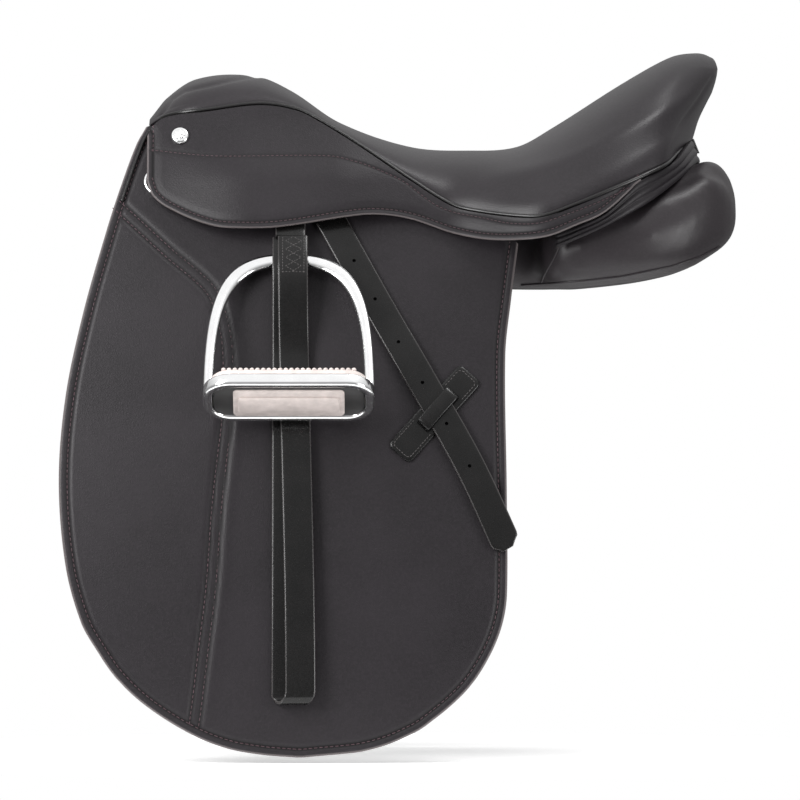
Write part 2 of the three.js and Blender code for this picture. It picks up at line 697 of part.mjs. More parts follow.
// The iron hangs from its eye, leaning out from the flap because its tread rests on the straps.
function stirrup(side) {
  const lean = slopeAt(IRON.topZ) + THREE.MathUtils.degToRad(IRON.restAngle);
  const hanger = new THREE.Group();
  const [, y, z] = onBarrel(side, 0, IRON.topZ, 0.6 + IRON.depth / 2);
  hanger.position.set(IRON.x, y, z);
  hanger.rotation.x = Math.PI / 2 + side * lean;
  group.add(hanger);
  add(`stirrup_iron_${sideName(side)}`, joined(ironArch(), treadRing()), 'chrome', hanger);
  add(`tread_${sideName(side)}`, treadPad(), 'rubber', hanger);
}

// ---------------------------------------------------------------- small fittings

function nailhead(side) {
  const profile = [[0, -1], [6, -1], [7.4, 0.5], [6.6, 2.2], [4, 3.2], [0, 3.6]];
  const head = new THREE.LatheGeometry(profile.map((p) => new THREE.Vector2(...p)), 20);
  const slope = slopeAt(NAILHEAD.z);
  head.rotateX(side === LEFT ? Math.PI - slope : slope);
  return head.translate(
    ...onBarrel(side, NAILHEAD.x, NAILHEAD.z, SKIRT.lift + SKIRT.thickness + 1.6),
  );
}

// The padded arch that closes the front of the pommel, over the withers.
function pommelFacing() {
  const face = (step) => (u, v) => {
    const angle = Math.PI * lerp(0.02, 0.98, u);
    const wide = Math.sign(Math.cos(angle)) * Math.abs(Math.cos(angle)) ** 0.8;
    const high = Math.sin(angle) ** 0.7;
    return [-212 - step + 10 * (1 - v), wide * lerp(44, 79, v), 62 + lerp(60, 78, v) * high];
  };
  return slab(16, 2, face(0), face(4));
}

// The band round the back of the saddle, between the seat and the panels. It leans with the seat.
function cantleBand() {
  const { front, rear, thickness } = CANTLE_BAND;
  const rim = (inset) => (u, v) => {
    const angle = lerp(-1, 1, u) * Math.PI / 2;
    const x = lerp(front, rear, Math.cos(angle) ** 0.8);
    const curl = Math.sqrt(Math.max(1 - ((x - front) / (rear + 1 - front)) ** 3.4, 0));
    const tuck = 10 * (1 - smooth(x, front, front + 24));
    const y = Math.sign(angle) * (SEAT.cantleHalfWidth - inset - tuck) * curl;
    const z = lerp(bandLowZ(Math.min(x, 251)), bandHighZ(x), v);
    const lean = 0.35 * Math.max(z - 105, 0) * smooth(x, 212, rear);
    return [x - lean - (inset * (x - front)) / (rear - front), y, z];
  };
  return slab(30, 1, rim(thickness), rim(0));
}

function deeRing(side) {
  const ring = new THREE.Shape();
  ring.absarc(0, 0, DEE.outer, 0, 2 * Math.PI);
  const hole = new THREE.Path();
  hole.absarc(0, 0, DEE.inner, 0, 2 * Math.PI);
  ring.holes.push(hole);
  const body = extruded(ring, 2.8, 8).rotateX(Math.PI / 2);
  body.translate(0, 1.4, 0).rotateX(side * slopeAt(DEE.z));
  return body.translate(...onBarrel(side, DEE.x, DEE.z, 2.1));
}

// The leather tab that the ring hangs from.
function deeChape(side) {
  const low = DEE.z + 14;
  const place = (u, v) => [DEE.x + 8 * (u - 0.5), low + 16 * v];
  return barrelSheet(side, 1, 1, place, { inner: 0.5, outer: 3.3 });
}

// A girth strap that hangs between the flap and the sweat flap.
function billet(side, x) {
  const place = (u, v) => [x + STRAP.width * (u - 0.5), lerp(BILLET.lowZ, BILLET.highZ, v)];
  return barrelSheet(side, 1, 11, place, BILLET);
}

// ---------------------------------------------------------------- the saddle

add('seat_cover', domeShell(0, SEAT.cover), 'seatLeather');
add('seat_foam', seatFoam(), 'foam');
add('seat_webbing', seatWebbing(), 'webbing');
add('tree', treeRing(), 'wood');
add('gullet_plate', gulletPlate(), 'steel');
add('pommel_facing', pommelFacing(), 'leather');
add('cantle_band', cantleBand(), 'leather');
addPair('tree_point', treePoint, 'wood');
addPair('panel', panel, 'panelLeather');
addPair('panel_front', frontPanel, 'panelLeather');
addPair('sweat_flap', sweatFlap, 'leather');
addPair('knee_block', kneeBlock, 'leather');
addPair('flap_top', flapTop, 'leather');
addPair('flap', flapLower, 'leather');
addPair('skirt_top', skirtFixed, 'leather');
addPair('skirt', skirtMoving, 'leather');
addPair('stirrup_bar', stirrupBar, 'steel');
addPair('bar_catch', barCatch, 'steel');
addPair('leather_top', leatherTop, 'strapLeather');
addPair('buckle', buckle, 'steel');
addPair('leather_loop', leatherLoop, 'strapLeather');
addPair('leather_tail', leatherTail, 'strapLeather');
addPair('keeper', keeper, 'strapLeather');
addPair('nailhead', nailhead, 'chrome');
addPair('dee_ring', deeRing, 'chrome');
addPair('dee_chape', deeChape, 'leather');
addPair('billet_front', (side) => billet(side, -60), 'strapLeather');
addPair('billet_rear', (side) => billet(side, 30), 'strapLeather');
for (const side of [LEFT, RIGHT]) stirrup(side);

export default group;
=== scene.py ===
"""The looks of a dressage saddle with run-up stirrups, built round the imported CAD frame.

Lengths inside this script are millimetres in the CAD frame, and new_object turns them into metres.
+Z is up, the pommel points to -X and the horse's left side is -Y.
"""

import math

import bpy
import numpy as np
from mathutils import Matrix, Vector
from mathutils.bvhtree import BVHTree


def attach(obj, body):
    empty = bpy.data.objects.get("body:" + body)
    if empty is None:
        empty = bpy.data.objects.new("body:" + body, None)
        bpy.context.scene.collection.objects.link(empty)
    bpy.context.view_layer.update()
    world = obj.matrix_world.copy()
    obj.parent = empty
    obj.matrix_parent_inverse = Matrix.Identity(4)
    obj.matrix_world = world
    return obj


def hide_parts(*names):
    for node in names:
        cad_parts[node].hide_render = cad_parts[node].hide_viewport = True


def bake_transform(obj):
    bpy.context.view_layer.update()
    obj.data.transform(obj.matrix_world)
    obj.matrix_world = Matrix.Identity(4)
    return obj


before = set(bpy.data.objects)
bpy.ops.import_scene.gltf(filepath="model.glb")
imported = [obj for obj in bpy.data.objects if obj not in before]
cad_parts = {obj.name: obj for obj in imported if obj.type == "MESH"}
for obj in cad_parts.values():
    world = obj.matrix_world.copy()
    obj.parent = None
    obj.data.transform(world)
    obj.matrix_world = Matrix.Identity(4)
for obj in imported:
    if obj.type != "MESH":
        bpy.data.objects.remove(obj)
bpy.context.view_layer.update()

# ---------------------------------------------------------------- driving dimensions

MM = 0.001
SIDES = ((-1, "left"), (1, "right"))

# The flaps lie on the side of a lying cylinder, like the horse's barrel.
BARREL_RADIUS = 1500
BARREL_Y = -1302.8
BARREL_Z = -438.3

FOLD_Z = 42              # the flaps fold outward here, just under the skirts
FLAP_TOP_Z = 140
HEM_CORNER_Z = -321      # where the flap's straight edges turn into its round hem
HEM_Z = -386
FLOOR_Z = -391
FLAP_INNER = -5
RIM_WIDTH = 7            # flat leather outside the flap's edge stitching

SEAT_FRONT = -214
SEAT_REAR = 264
SEAT_THICKNESS = 13
POMMEL_BACK = -165       # the seat narrows from here to its front
POMMEL_LENGTH = 49.5
CANTLE_FRONT = 130       # and rounds off from here to its rear
CANTLE_HALF_WIDTH = 146
CANTLE_FLARE = 36        # how far the seat and skirts leave the barrel at the cantle
BAND_FRONT = 128
BAND_REAR = 254
GULLET_HALF_WIDTH = 31

STRAP_WIDTH = 25
STRAP_THICKNESS = 3
LOOP_BOTTOM_Z = -336     # the hanging loop turns round here
TAIL_END_Z = -214

NAILHEAD_X = -186
NAILHEAD_Z = 127.6
DEE_X = -203.5
DEE_Z = 92
DEE_RADIUS = 11.2

IRON_X = -93.5
IRON_TOP_Z = 41
IRON_REST_ANGLE = 13.5
IRON_WIDTH = 142
IRON_BAR = 8.5
IRON_DEPTH = 7
IRON_HEIGHT = 160
TREAD_DEPTH = 60
TREAD_HEIGHT = 11
TREAD_PROUD = 10         # how far the rubber stands over the ring
TREAD_TEETH = 24
IRON_FOOT = TREAD_HEIGHT - IRON_HEIGHT    # the ring's top, from the iron's own top

KEEPER_CENTRE = (27, -102)
KEEPER_TILT = math.radians(48)

# ---------------------------------------------------------------- curves


def through(*pairs):
    """A smooth function through (input, output) pairs, with input rising. It takes arrays."""
    knots, values = np.array(pairs, float).T
    before = np.maximum(np.arange(len(knots)) - 1, 0)
    after = np.minimum(np.arange(len(knots)) + 1, len(knots) - 1)
    slopes = (values[after] - values[before]) / (knots[after] - knots[before])

    def curve(inputs):
        inputs = np.asarray(inputs, float)
        i = np.clip(np.searchsorted(knots, inputs, side="right") - 1, 0, len(knots) - 2)
        span = knots[i + 1] - knots[i]
        t = np.clip((inputs - knots[i]) / span, 0, 1)
        ease = t * t * (3 - 2 * t)
        lead = t * (1 - t) ** 2 * span * slopes[i]
        trail = t * t * (t - 1) * span * slopes[i + 1]
        return values[i] + ease * (values[i + 1] - values[i]) + lead + trail

    return curve


def smooth(value, low, high):
    """0 below low, 1 above high, and a soft step between."""
    t = np.clip((np.asarray(value, float) - low) / (high - low), 0, 1)
    return t * t * (3 - 2 * t)


def lerp(a, b, t):
    return a + (b - a) * t


def unit(vectors):
    """The same directions, with length 1."""
    return vectors / np.linalg.norm(vectors, axis=-1, keepdims=True)


def turns(count):
    """Angles evenly round a circle."""
    return np.linspace(0, 2 * math.pi, count + 1)[:-1]


def circle(radius, count):
    angles = turns(count)
    return radius * np.stack([np.cos(angles), np.sin(angles)], -1)


def shares(columns, rows, low=0):
    """A grid of u, from 0 to 1 along its columns, and v, from low to 1 along its rows."""
    return np.meshgrid(np.linspace(0, 1, columns), np.linspace(low, 1, rows))


def on_barrel(side, x, z, lift):
    """Points on the barrel at height z of the flap's outer face, lifted off that face."""
    x, z, lift = np.broadcast_arrays(*(np.asarray(a, float) for a in (x, z, lift)))
    angle = np.arcsin((z - BARREL_Z) / BARREL_RADIUS)
    reach = BARREL_RADIUS + lift
    y = side * (BARREL_Y + reach * np.cos(angle))
    return np.stack([x, y, BARREL_Z + reach * np.sin(angle)], -1)


def barrel_normal(side, z):
    angle = np.arcsin((np.asarray(z, float) - BARREL_Z) / BARREL_RADIUS)
    return np.stack([0 * angle, side * np.cos(angle), np.sin(angle)], -1)


welt_z = through(
    (-214, 142), (-196, 150), (-165, 154), (-119, 159.5), (-89, 155), (-70, 146), (-35, 124),
    (10, 93.5), (42, 74), (66, 68), (97, 64), (118, 64), (145, 73.5), (169, 83.5), (198, 96),
    (215, 104), (232, 110.5), (243, 115), (255, 122), (264, 131),
)
seat_top_z = through(
    (-214, 148), (-200, 166), (-174, 182), (-124, 184), (-93, 171), (-53, 144.5), (7, 124),
    (57, 121), (97, 124), (127, 140), (187, 178), (227, 200), (245, 203.5), (254, 201), (260, 194),
    (264, 170),
)
skirt_low_z = through(
    (-215, 98), (-209, 81), (-189.5, 67), (-158, 55), (-134, 53), (-102, 54), (-35, 64),
    (-12, 64), (10, 60), (42, 49), (70, 43.5), (98, 43), (122, 46), (145, 55), (169, 66), (198, 92),
)
flap_front_x = through(
    (-386, -88), (-384, -114), (-379, -143), (-367, -174), (-344, -211), (-321, -236),
    (-297, -253), (-274, -266), (-227, -279), (-157, -285), (-87, -280), (-17, -266),
    (53, -247), (90, -235.5), (125, -223), (140, -215),
)
flap_rear_x = through(
    (-386, -82), (-381, -33), (-367, 7), (-354, 27), (-337, 47), (-321, 61), (-297, 75),
    (-274, 83.5), (-250, 87), (-169, 87), (-52, 86), (-5, 91), (41, 97),
)
flap_top_rear_x = through((42, 97), (60, 62), (80, 24), (100, -6), (125, -44), (140, -70))
thigh_seam_x = through(
    (-376, -172), (-358, -168), (-301, -161), (-246, -154.5), (-182, -150), (-134, -145),
    (-109, -142), (-54, -141), (-25, -145), (5, -157), (37, -193), (70, -229), (84, -244),
)
band_low_z = through((124, 35), (142, 43), (169, 55), (204, 74), (225, 89), (251, 111))
band_high_z = through(
    (124, 46), (145, 53), (169, 64), (190, 84), (198, 91), (218, 101), (231, 109), (241, 117.5),
    (254, 127.5),
)


def flare(x):
    """How far the seat and skirts have left the barrel on their way to the cantle."""
    return CANTLE_FLARE * smooth(x, 35, CANTLE_FRONT)


def undercut(x, z):
    """How far the seat's back leans forward under its rim."""
    return 0.3 * np.maximum(190 - z, 0) * smooth(x, 212, SEAT_REAR)


def rounding_off(past, length, power):
    """The share of a width that is left at a distance past the start of a round end."""
    return np.sqrt(np.maximum(1 - (np.maximum(past, 0) / length) ** power, 0))


def seat_half_width(x):
    """Half the seat's width at its welt."""
    x = np.asarray(x, float)
    body = on_barrel(1, 0, welt_z(x), 0)[..., 1] + flare(x)
    pommel = body * rounding_off(POMMEL_BACK - x, POMMEL_LENGTH, 2.4)
    cantle = CANTLE_HALF_WIDTH * rounding_off(x - CANTLE_FRONT, SEAT_REAR - CANTLE_FRONT, 3.2)
    return np.where(x < POMMEL_BACK, pommel, np.where(x > CANTLE_FRONT, cantle, body))


# ---------------------------------------------------------------- mesh building


def new_object(name, points, faces, material, smooth_shading=True):
    mesh = bpy.data.meshes.new(name)
    mesh.from_pydata((np.asarray(points, float).reshape(-1, 3) * MM).tolist(), [], faces)
    mesh.materials.append(material)
    mesh.polygons.foreach_set("use_smooth", [smooth_shading] * len(mesh.polygons))
    mesh.update()
    obj = bpy.data.objects.new(name, mesh)
    bpy.context.scene.collection.objects.link(obj)
    return obj


def face_outward(obj):
    """Turns a closed mesh's faces outward, by the sign of its volume."""
    mesh = obj.data
    mesh.calc_loop_triangles()
    points = np.array([v.co for v in mesh.vertices])
    triangles = np.array([t.vertices for t in mesh.loop_triangles])
    a, b, c = (points[triangles[:, k]] for k in range(3))
    if np.einsum("ij,ij->i", a, np.cross(b, c)).sum() < 0:
        mesh.flip_normals()
    return obj


def grid_faces(rows, columns, start=0, flip=False):
    j, i = np.meshgrid(np.arange(rows - 1), np.arange(columns - 1), indexing="ij")
    a = (start + j * columns + i).ravel()
    quads = np.stack([a, a + 1, a + columns + 1, a + columns], -1)
    return (quads[:, ::-1] if flip else quads).tolist()


def slab(name, inner, outer, material):
    """A closed piece between two grids of points of the same size, each rows x columns x 3."""
    rows, columns = outer.shape[:2]
    layer = rows * columns
    faces = grid_faces(rows, columns, 0, True) + grid_faces(rows, columns, layer)
    index = np.arange(layer).reshape(rows, columns)
    rim = np.concatenate([index[0, :-1], index[:-1, -1], index[-1, :0:-1], index[:0:-1, 0]])
    following = np.roll(rim, -1)
    faces += np.stack([rim, following, following + layer, rim + layer], -1).tolist()
    points = np.concatenate([inner.reshape(-1, 3), outer.reshape(-1, 3)])
    return face_outward(new_object(name, points, faces, material))


def tube(name, rings, material, closed=False):
    """A skin over rings of points, stations x corners x 3. It is capped unless it closes."""
    stations, corners = rings.shape[:2]
    faces = []
    for k in range(stations if closed else stations - 1):
        ahead = (k + 1) % stations
        for c in range(corners):
            after = (c + 1) % corners
            near, far = k * corners, ahead * corners
            faces.append([near + c, near + after, far + after, far + c])
    if not closed:
        faces.append(list(range(corners))[::-1])
        faces.append([(stations - 1) * corners + c for c in range(corners)])
    return face_outward(new_object(name, rings, faces, material))


def tangents(points):
    return unit(np.gradient(points, axis=0))


def resampled(points, spacing):
    """The same path with its points evenly spaced."""
    lengths = np.linalg.norm(np.diff(points, axis=0), axis=1)
    travelled = np.concatenate([[0], np.cumsum(lengths)])
    stations = np.linspace(0, travelled[-1], max(int(travelled[-1] / spacing), 2) + 1)
    return np.stack([np.interp(stations, travelled, points[:, k]) for k in range(points.shape[1])], -1)


def round_profile(width, thickness, radius, steps=3):
    """A rectangle with round corners, as points going round it."""
    corners = []
    for quarter in range(4):
        cx = (width / 2 - radius) * (1 if quarter in (0, 3) else -1)
        cy = (thickness / 2 - radius) * (1 if quarter in (0, 1) else -1)
        for step in range(steps + 1):
            angle = math.pi / 2 * (quarter + step / steps)
            corners.append((cx + radius * math.cos(angle), cy + radius * math.sin(angle)))
    return np.array(corners)


def strap_profile(width, thickness):
    """A strap's section: round edges, and stations across its faces so that only the edges get the
    painted highlight.
    """
    corners = round_profile(width, thickness, 0.42 * thickness)
    flat = np.linspace(width / 2 - 2.6, 2.6 - width / 2, 5)
    top = np.stack([flat, np.full(5, thickness / 2 + 0.12)], -1)
    first, second, third, last = np.split(corners, 4)
    return np.concatenate([first, top, second, third, -top, last])


def highlighted_edges(obj, profile, stations):
    """Marks a strap's long edges for the painted highlight, a paler colour in place of the light they
    catch.
    """
    reach = np.abs(profile[:, 0]).max()
    return paint(obj, "edge", np.tile((np.abs(profile[:, 0]) > reach - 1.0).astype(float), stations))


def swept(name, centres, across, outward, profile, material, closed=False, scale=None):
    """A profile carried along a path. across and outward are the profile's axes at each station."""
    scale = np.ones(len(centres)) if scale is None else scale
    rings = (
        centres[:, None]
        + across[:, None] * (profile[None, :, :1] * scale[:, None, None])
        + outward[:, None] * profile[None, :, 1:]
    )
    return tube(name, rings, material, closed)


def piping(name, points, outward, radius, material):
    """A round welt along a path."""
    along = tangents(points)
    across = unit(np.cross(along, outward))
    return swept(name, points, across, np.cross(across, along), circle(radius, 8), material)


def join(name, pieces):
    """Makes one object of several."""
    bpy.ops.object.select_all(action="DESELECT")
    for piece in pieces:
        piece.select_set(True)
    bpy.context.view_layer.objects.active = pieces[0]
    bpy.ops.object.join()
    pieces[0].name = name
    pieces[0].data.name = name
    return pieces[0]


def apply_modifiers(obj):
    bpy.context.view_layer.update()
    graph = bpy.context.evaluated_depsgraph_get()
    mesh = bpy.data.meshes.new_from_object(obj.evaluated_get(graph))
    obj.modifiers.clear()
    obj.data = mesh
    return obj


def crisp(obj, degrees=38):
    """Shades a mesh smooth, apart from edges that turn more than an angle."""
    obj.data.polygons.foreach_set("use_smooth", [True] * len(obj.data.polygons))
    obj.data.set_sharp_from_angle(angle=math.radians(degrees))
    return obj


def distance_to(x, z, path):
    """How far points (x, z) are from a path of [x, z] points."""
    spots = np.stack([np.ravel(x), np.ravel(z)], -1)
    best = np.full(len(spots), np.inf)
    for start, end in zip(path[:-1], path[1:]):
        span = end - start
        t = np.clip((spots - start) @ span / (span @ span), 0, 1)
        best = np.minimum(best, np.linalg.norm(spots - start - t[:, None] * span, axis=1))
    return best.reshape(np.shape(x))


def clustered(count, pull=0.6):
    """Values from 0 to 1, closer together at both ends."""
    t = np.linspace(0, 1, count)
    return t - pull * np.sin(2 * math.pi * t) / (2 * math.pi)


def paint(obj, name, values):
    """Stores one number for each vertex, for the materials to read."""
    layer = obj.data.attributes.new(name, "FLOAT", "POINT")
    layer.data.foreach_set("value", np.asarray(values, np.float32).ravel())
    return obj


def stitches(name, lines, material, pitch=4.4, length=3.1, width=0.8, height=0.5):
    """Real thread: small rounded stitches along lines, each (points, normals) on a surface."""
    ends = np.array([-1, -0.72, 0, 0.72, 1])
    girth = np.array([0.25, 0.85, 1, 0.85, 0.25])
    template = np.array([
        (ends[k] * length / 2, girth[k] * width / 2 * math.cos(a), girth[k] * height * math.sin(a))
        for k in range(5) for a in turns(6)
    ])
    caps = [list(range(6))[::-1], [24 + c for c in range(6)]]
    skin = [
        [6 * k + c, 6 * k + (c + 1) % 6, 6 * k + 6 + (c + 1) % 6, 6 * k + 6 + c]
        for k in range(4) for c in range(6)
    ]
    points, faces = [], []
    for path, normals in lines:
        both = resampled(np.concatenate([path, normals], 1), pitch)
        centres, up = both[:, :3], both[:, 3:]
        along = tangents(centres)
        across = unit(np.cross(up, along))
        up = np.cross(along, across)
        for c, a, b, n in zip(centres, along, across, up):
            base = len(points) * len(template)
            points.append(c + template @ np.stack([a, b, n]))
            faces += [[base + i for i in face] for face in skin + caps]
    return new_object(name, np.array(points), faces, material)


def on_surface(surface, x, z, step=0.5):
    """Points and outward normals at (x, z) of a surface(x, z) that faces away from the centre plane."""
    x, z = np.asarray(x, float), np.asarray(z, float)
    here = surface(x, z)
    normal = unit(np.cross(surface(x + step, z) - here, surface(x, z + step) - here))
    facing = np.sign(normal[..., 1:2] * here[..., 1:2])
    return here, normal * facing


def place(obj, body, slot, *nodes):
    """Lets a finished piece ride on its body instead of the CAD nodes. Its slot, the finish, is not
    used.
    """
    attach(obj, body)
    if nodes:
        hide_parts(*nodes)
    return obj


# ---------------------------------------------------------------- materials


class Nodes:
    """A short way to wire a material's nodes."""

    def __init__(self, name, roughness, metallic=0.0, **sockets):
        self.material = bpy.data.materials.new(name)
        self.material.use_nodes = True
        self.tree = self.material.node_tree
        self.shader = self.tree.nodes["Principled BSDF"]
        self.shader.inputs["Roughness"].default_value = roughness
        self.shader.inputs["Metallic"].default_value = metallic
        for socket, value in sockets.items():
            self.shader.inputs[socket.replace("_", " ")].default_value = value
        self.place = self.tree.nodes.new("ShaderNodeTexCoord").outputs["Object"]

    def link(self, output, target):
        self.tree.links.new(output, target)

    def drive(self, socket, output):
        """Feeds one of the shader's own sockets."""
        self.link(output, self.shader.inputs[socket])

    def noise(self, scale, detail=4.0, stretch=(1, 1, 1), distortion=0.0):
        mapping = self.tree.nodes.new("ShaderNodeMapping")
        mapping.inputs["Scale"].default_value = stretch
        self.link(self.place, mapping.inputs["Vector"])
        node = self.tree.nodes.new("ShaderNodeTexNoise")
        node.inputs["Scale"].default_value = scale
        node.inputs["Detail"].default_value = detail
        node.inputs["Distortion"].default_value = distortion
        self.link(mapping.outputs["Vector"], node.inputs["Vector"])
        return node.outputs["Fac"]

    def cells(self, scale):
        node = self.tree.nodes.new("ShaderNodeTexVoronoi")
        node.feature = "DISTANCE_TO_EDGE"
        node.inputs["Scale"].default_value = scale
        self.link(self.place, node.inputs["Vector"])
        return node.outputs["Distance"]

    def attribute(self, name):
        node = self.tree.nodes.new("ShaderNodeAttribute")
        node.attribute_name = name
        return node.outputs["Fac"]

    def ranged(self, value, from_low, from_high, to_low, to_high):
        node = self.tree.nodes.new("ShaderNodeMapRange")
        for socket, number in zip(node.inputs[1:5], (from_low, from_high, to_low, to_high)):
            socket.default_value = number
        self.link(value, node.inputs["Value"])
        return node.outputs["Result"]

    def blend(self, factor, a, b):
        """Mixes two colours, each a tuple or another node's output."""
        node = self.tree.nodes.new("ShaderNodeMix")
        node.data_type = "RGBA"
        self.link(factor, node.inputs["Factor"])
        for socket, colour in ((node.inputs[6], a), (node.inputs[7], b)):
            if isinstance(colour, tuple):
                socket.default_value = (*colour, 1)
            else:
                self.link(colour, socket)
        return node.outputs[2]

    def maths(self, operation, a, b):
        node = self.tree.nodes.new("ShaderNodeMath")
        node.operation = operation
        for socket, value in zip(node.inputs, (a, b)):
            if isinstance(value, (int, float)):
                socket.default_value = value
            else:
                self.link(value, socket)
        return node.outputs[0]

    def bump(self, *layers):
        """Layers of (height output, strength, depth in metres), one on top of the other."""
        normal = None
        for height, strength, depth in layers:
            node = self.tree.nodes.new("ShaderNodeBump")
            node.inputs["Strength"].default_value = strength
            node.inputs["Distance"].default_value = depth
            self.link(height, node.inputs["Height"])
            if normal is not None:
                self.link(normal, node.inputs["Normal"])
            normal = node.outputs["Normal"]
        self.drive("Normal", normal)


def shade(colour, factor):
    return tuple(channel * factor for channel in colour)


def leather(name, colour, roughness, grain, **sockets):
    """Grained leather. "edge" marks paler edges, a painted highlight where the rounded rims catch light,
    and "crease" marks seams darkened with painted shade.
    """
    nodes = Nodes(name, roughness, **sockets)
    tone = nodes.ranged(nodes.noise(14, 5), 0.3, 0.7, 0, 1)
    base = nodes.blend(tone, shade(colour, 0.82), shade(colour, 1.22))
    flecks = nodes.ranged(nodes.noise(420, 3), 0.4, 0.75, 0, 0.5)
    mottled = nodes.blend(flecks, base, shade(colour, 1.7))
    # Painted shade: the seams' grooves are darkened and made rougher, as if shade fell in them.
    sunk = nodes.ranged(nodes.attribute("crease"), 0, 1, 0, 0.9)
    dark = nodes.blend(sunk, mottled, shade(colour, 0.12))
    # Painted highlight: the edges are lightened in place of the light their rounded rims catch.
    edge_lit = nodes.blend(nodes.ranged(nodes.attribute("edge"), 0.25, 1, 0, 0.75), dark, (0.16, 0.14, 0.14))
    nodes.drive("Base Color", edge_lit)
    pores = nodes.ranged(nodes.noise(700, 4), 0.25, 0.75, roughness - 0.04, roughness + 0.05)
    nodes.drive("Roughness", nodes.maths("ADD", pores, nodes.maths("MULTIPLY", sunk, 0.4)))
    nodes.bump(
        (nodes.noise(22, 2, distortion=0.2), 0.12, 0.001),
        (nodes.cells(480), 0.3 * grain, 0.0005),
        (nodes.noise(1300, 4), 0.25 * grain, 0.00025),
    )
    return nodes.material


def polished_leather(name):
    """Strap leather: black and burnished, with fine scuffs, and paler edges that are a painted
    highlight.
    """
    nodes = Nodes(name, 0.28, Coat_Weight=0.15, Coat_Roughness=0.12, Specular_IOR_Level=0.3)
    tone = nodes.ranged(nodes.noise(40, 5), 0.35, 0.7, 0, 1)
    base = nodes.blend(tone, (0.0025, 0.0024, 0.0024), (0.005, 0.0046, 0.0046))
    # Painted highlight: the strap's edges are lightened in place of the light their rounded rims catch.
    edge_lit = nodes.blend(nodes.ranged(nodes.attribute("edge"), 0.2, 1, 0, 0.6), base, (0.07, 0.065, 0.065))
    nodes.drive("Base Color", edge_lit)
    nodes.drive("Roughness", nodes.ranged(nodes.noise(500, 4), 0.35, 0.75, 0.25, 0.33))
    nodes.bump(
        (nodes.noise(30, 2), 0.12, 0.0006),
        (nodes.noise(1200, 4), 0.15, 0.00015),
    )
    return nodes.material


def thread(name, colour):
    nodes = Nodes(name, 0.6)
    twist = nodes.noise(2600, 2)
    nodes.drive("Base Color", nodes.blend(twist, shade(colour, 0.6), shade(colour, 1.4)))
    nodes.bump((twist, 0.5, 0.0003))
    return nodes.material


def chrome(name, colour, roughness):
    """Plated steel with faint smears and hairline scratches."""
    nodes = Nodes(name, roughness, 1.0)
    tarnish = nodes.ranged(nodes.noise(60, 4), 0.4, 0.8, 0, 0.35)
    nodes.drive("Base Color", nodes.blend(tarnish, colour, shade(colour, 0.8)))
    smears = nodes.ranged(nodes.noise(220, 5, (1, 6, 1)), 0.35, 0.8, roughness * 0.7, roughness * 2.6)
    nodes.drive("Roughness", smears)
    nodes.bump((nodes.noise(35, 2), 0.12, 0.0006), (nodes.noise(900, 3, (1, 9, 1)), 0.03, 0.0001))
    return nodes.material


def brushed_steel(name):
    nodes = Nodes(name, 0.35, 1.0)
    brushing = nodes.noise(800, 4, (0.15, 1, 1))
    nodes.drive("Base Color", nodes.blend(brushing, (0.36, 0.37, 0.39), (0.62, 0.63, 0.65)))
    nodes.drive("Roughness", nodes.ranged(brushing, 0.3, 0.7, 0.28, 0.46))
    nodes.bump((brushing, 0.2, 0.0002))
    return nodes.material


def rubber(name, colour, roughness=0.6):
    """Moulded rubber with dust in its texture."""
    nodes = Nodes(name, roughness)
    dust = nodes.ranged(nodes.noise(120, 5), 0.35, 0.75, 0, 1)
    nodes.drive("Base Color", nodes.blend(dust, shade(colour, 0.86), shade(colour, 1.1)))
    nodes.bump((nodes.noise(900, 3), 0.25, 0.0003))
    return nodes.material


def grained(name, dark, light, stretch, scale, depth):
    """Woven webbing or laminated wood, by how the noise is stretched."""
    nodes = Nodes(name, 0.8)
    figure = nodes.noise(scale, 5, stretch, 0.6)
    nodes.drive("Base Color", nodes.blend(figure, dark, light))
    nodes.bump((figure, 0.5, depth))
    return nodes.material


SEAT_LEATHER = leather("seat_leather", (0.0150, 0.0128, 0.0148), 0.40, 0.7, Specular_IOR_Level=0.34)
FLAP_LEATHER = leather("flap_leather", (0.0122, 0.0104, 0.0122), 0.44, 1.0, Specular_IOR_Level=0.24)
PANEL_LEATHER = leather("panel_leather", (0.0160, 0.0130, 0.0150), 0.44, 0.6, Specular_IOR_Level=0.4)
STRAP_LEATHER = polished_leather("strap_leather")
WELT_LEATHER = leather("welt_leather", (0.004, 0.0036, 0.0038), 0.32, 0.5)
THREAD = thread("thread", (0.060, 0.030, 0.038))
STRAP_THREAD = thread("strap_thread", (0.075, 0.068, 0.068))
CHROME = chrome("chrome", (0.95, 0.952, 0.955), 0.1)
STEEL = brushed_steel("steel")
TREAD_RUBBER = rubber("tread_rubber", (0.60, 0.53, 0.505))
# A near-black plate in the tread, painted shade: it stands in for the shade inside the stirrup's ring.
RING_SHADE_RUBBER = rubber("ring_shade_rubber", (0.02, 0.019, 0.019), 0.5)
WEBBING = grained("webbing", (0.34, 0.3, 0.22), (0.6, 0.55, 0.42), (6, 1, 1), 500, 0.0006)
WOOD = grained("tree_wood", (0.2, 0.11, 0.05), (0.42, 0.27, 0.14), (0.2, 3, 8), 40, 0.0004)

# ---------------------------------------------------------------- seat


def dome_point(depth, u, v):
    """The seat's dome. u runs from the pommel to the cantle, v from one welt to the other."""
    x = lerp(SEAT_FRONT, SEAT_REAR, 0.5 - 0.5 * np.cos(math.pi * u))
    half = seat_half_width(x) * (1 - depth / CANTLE_HALF_WIDTH) - 0.25 * depth
    across = 2 * v - 1
    rise = np.maximum(1 - np.abs(across) ** 2.6, 0) ** 0.6
    crown = np.maximum(seat_top_z(x) - depth - welt_z(x), 0.5)
    z = welt_z(x) + crown * rise
    lobe = 6.5 * smooth(x, 222, SEAT_REAR) * smooth(z, 142, 186)
    middle = (SEAT_FRONT + SEAT_REAR) / 2
    shrunk = lerp(x - undercut(x, z) + lobe, middle, depth / 230)
    return np.stack([shrunk, across * np.maximum(half, 1), z], -1)


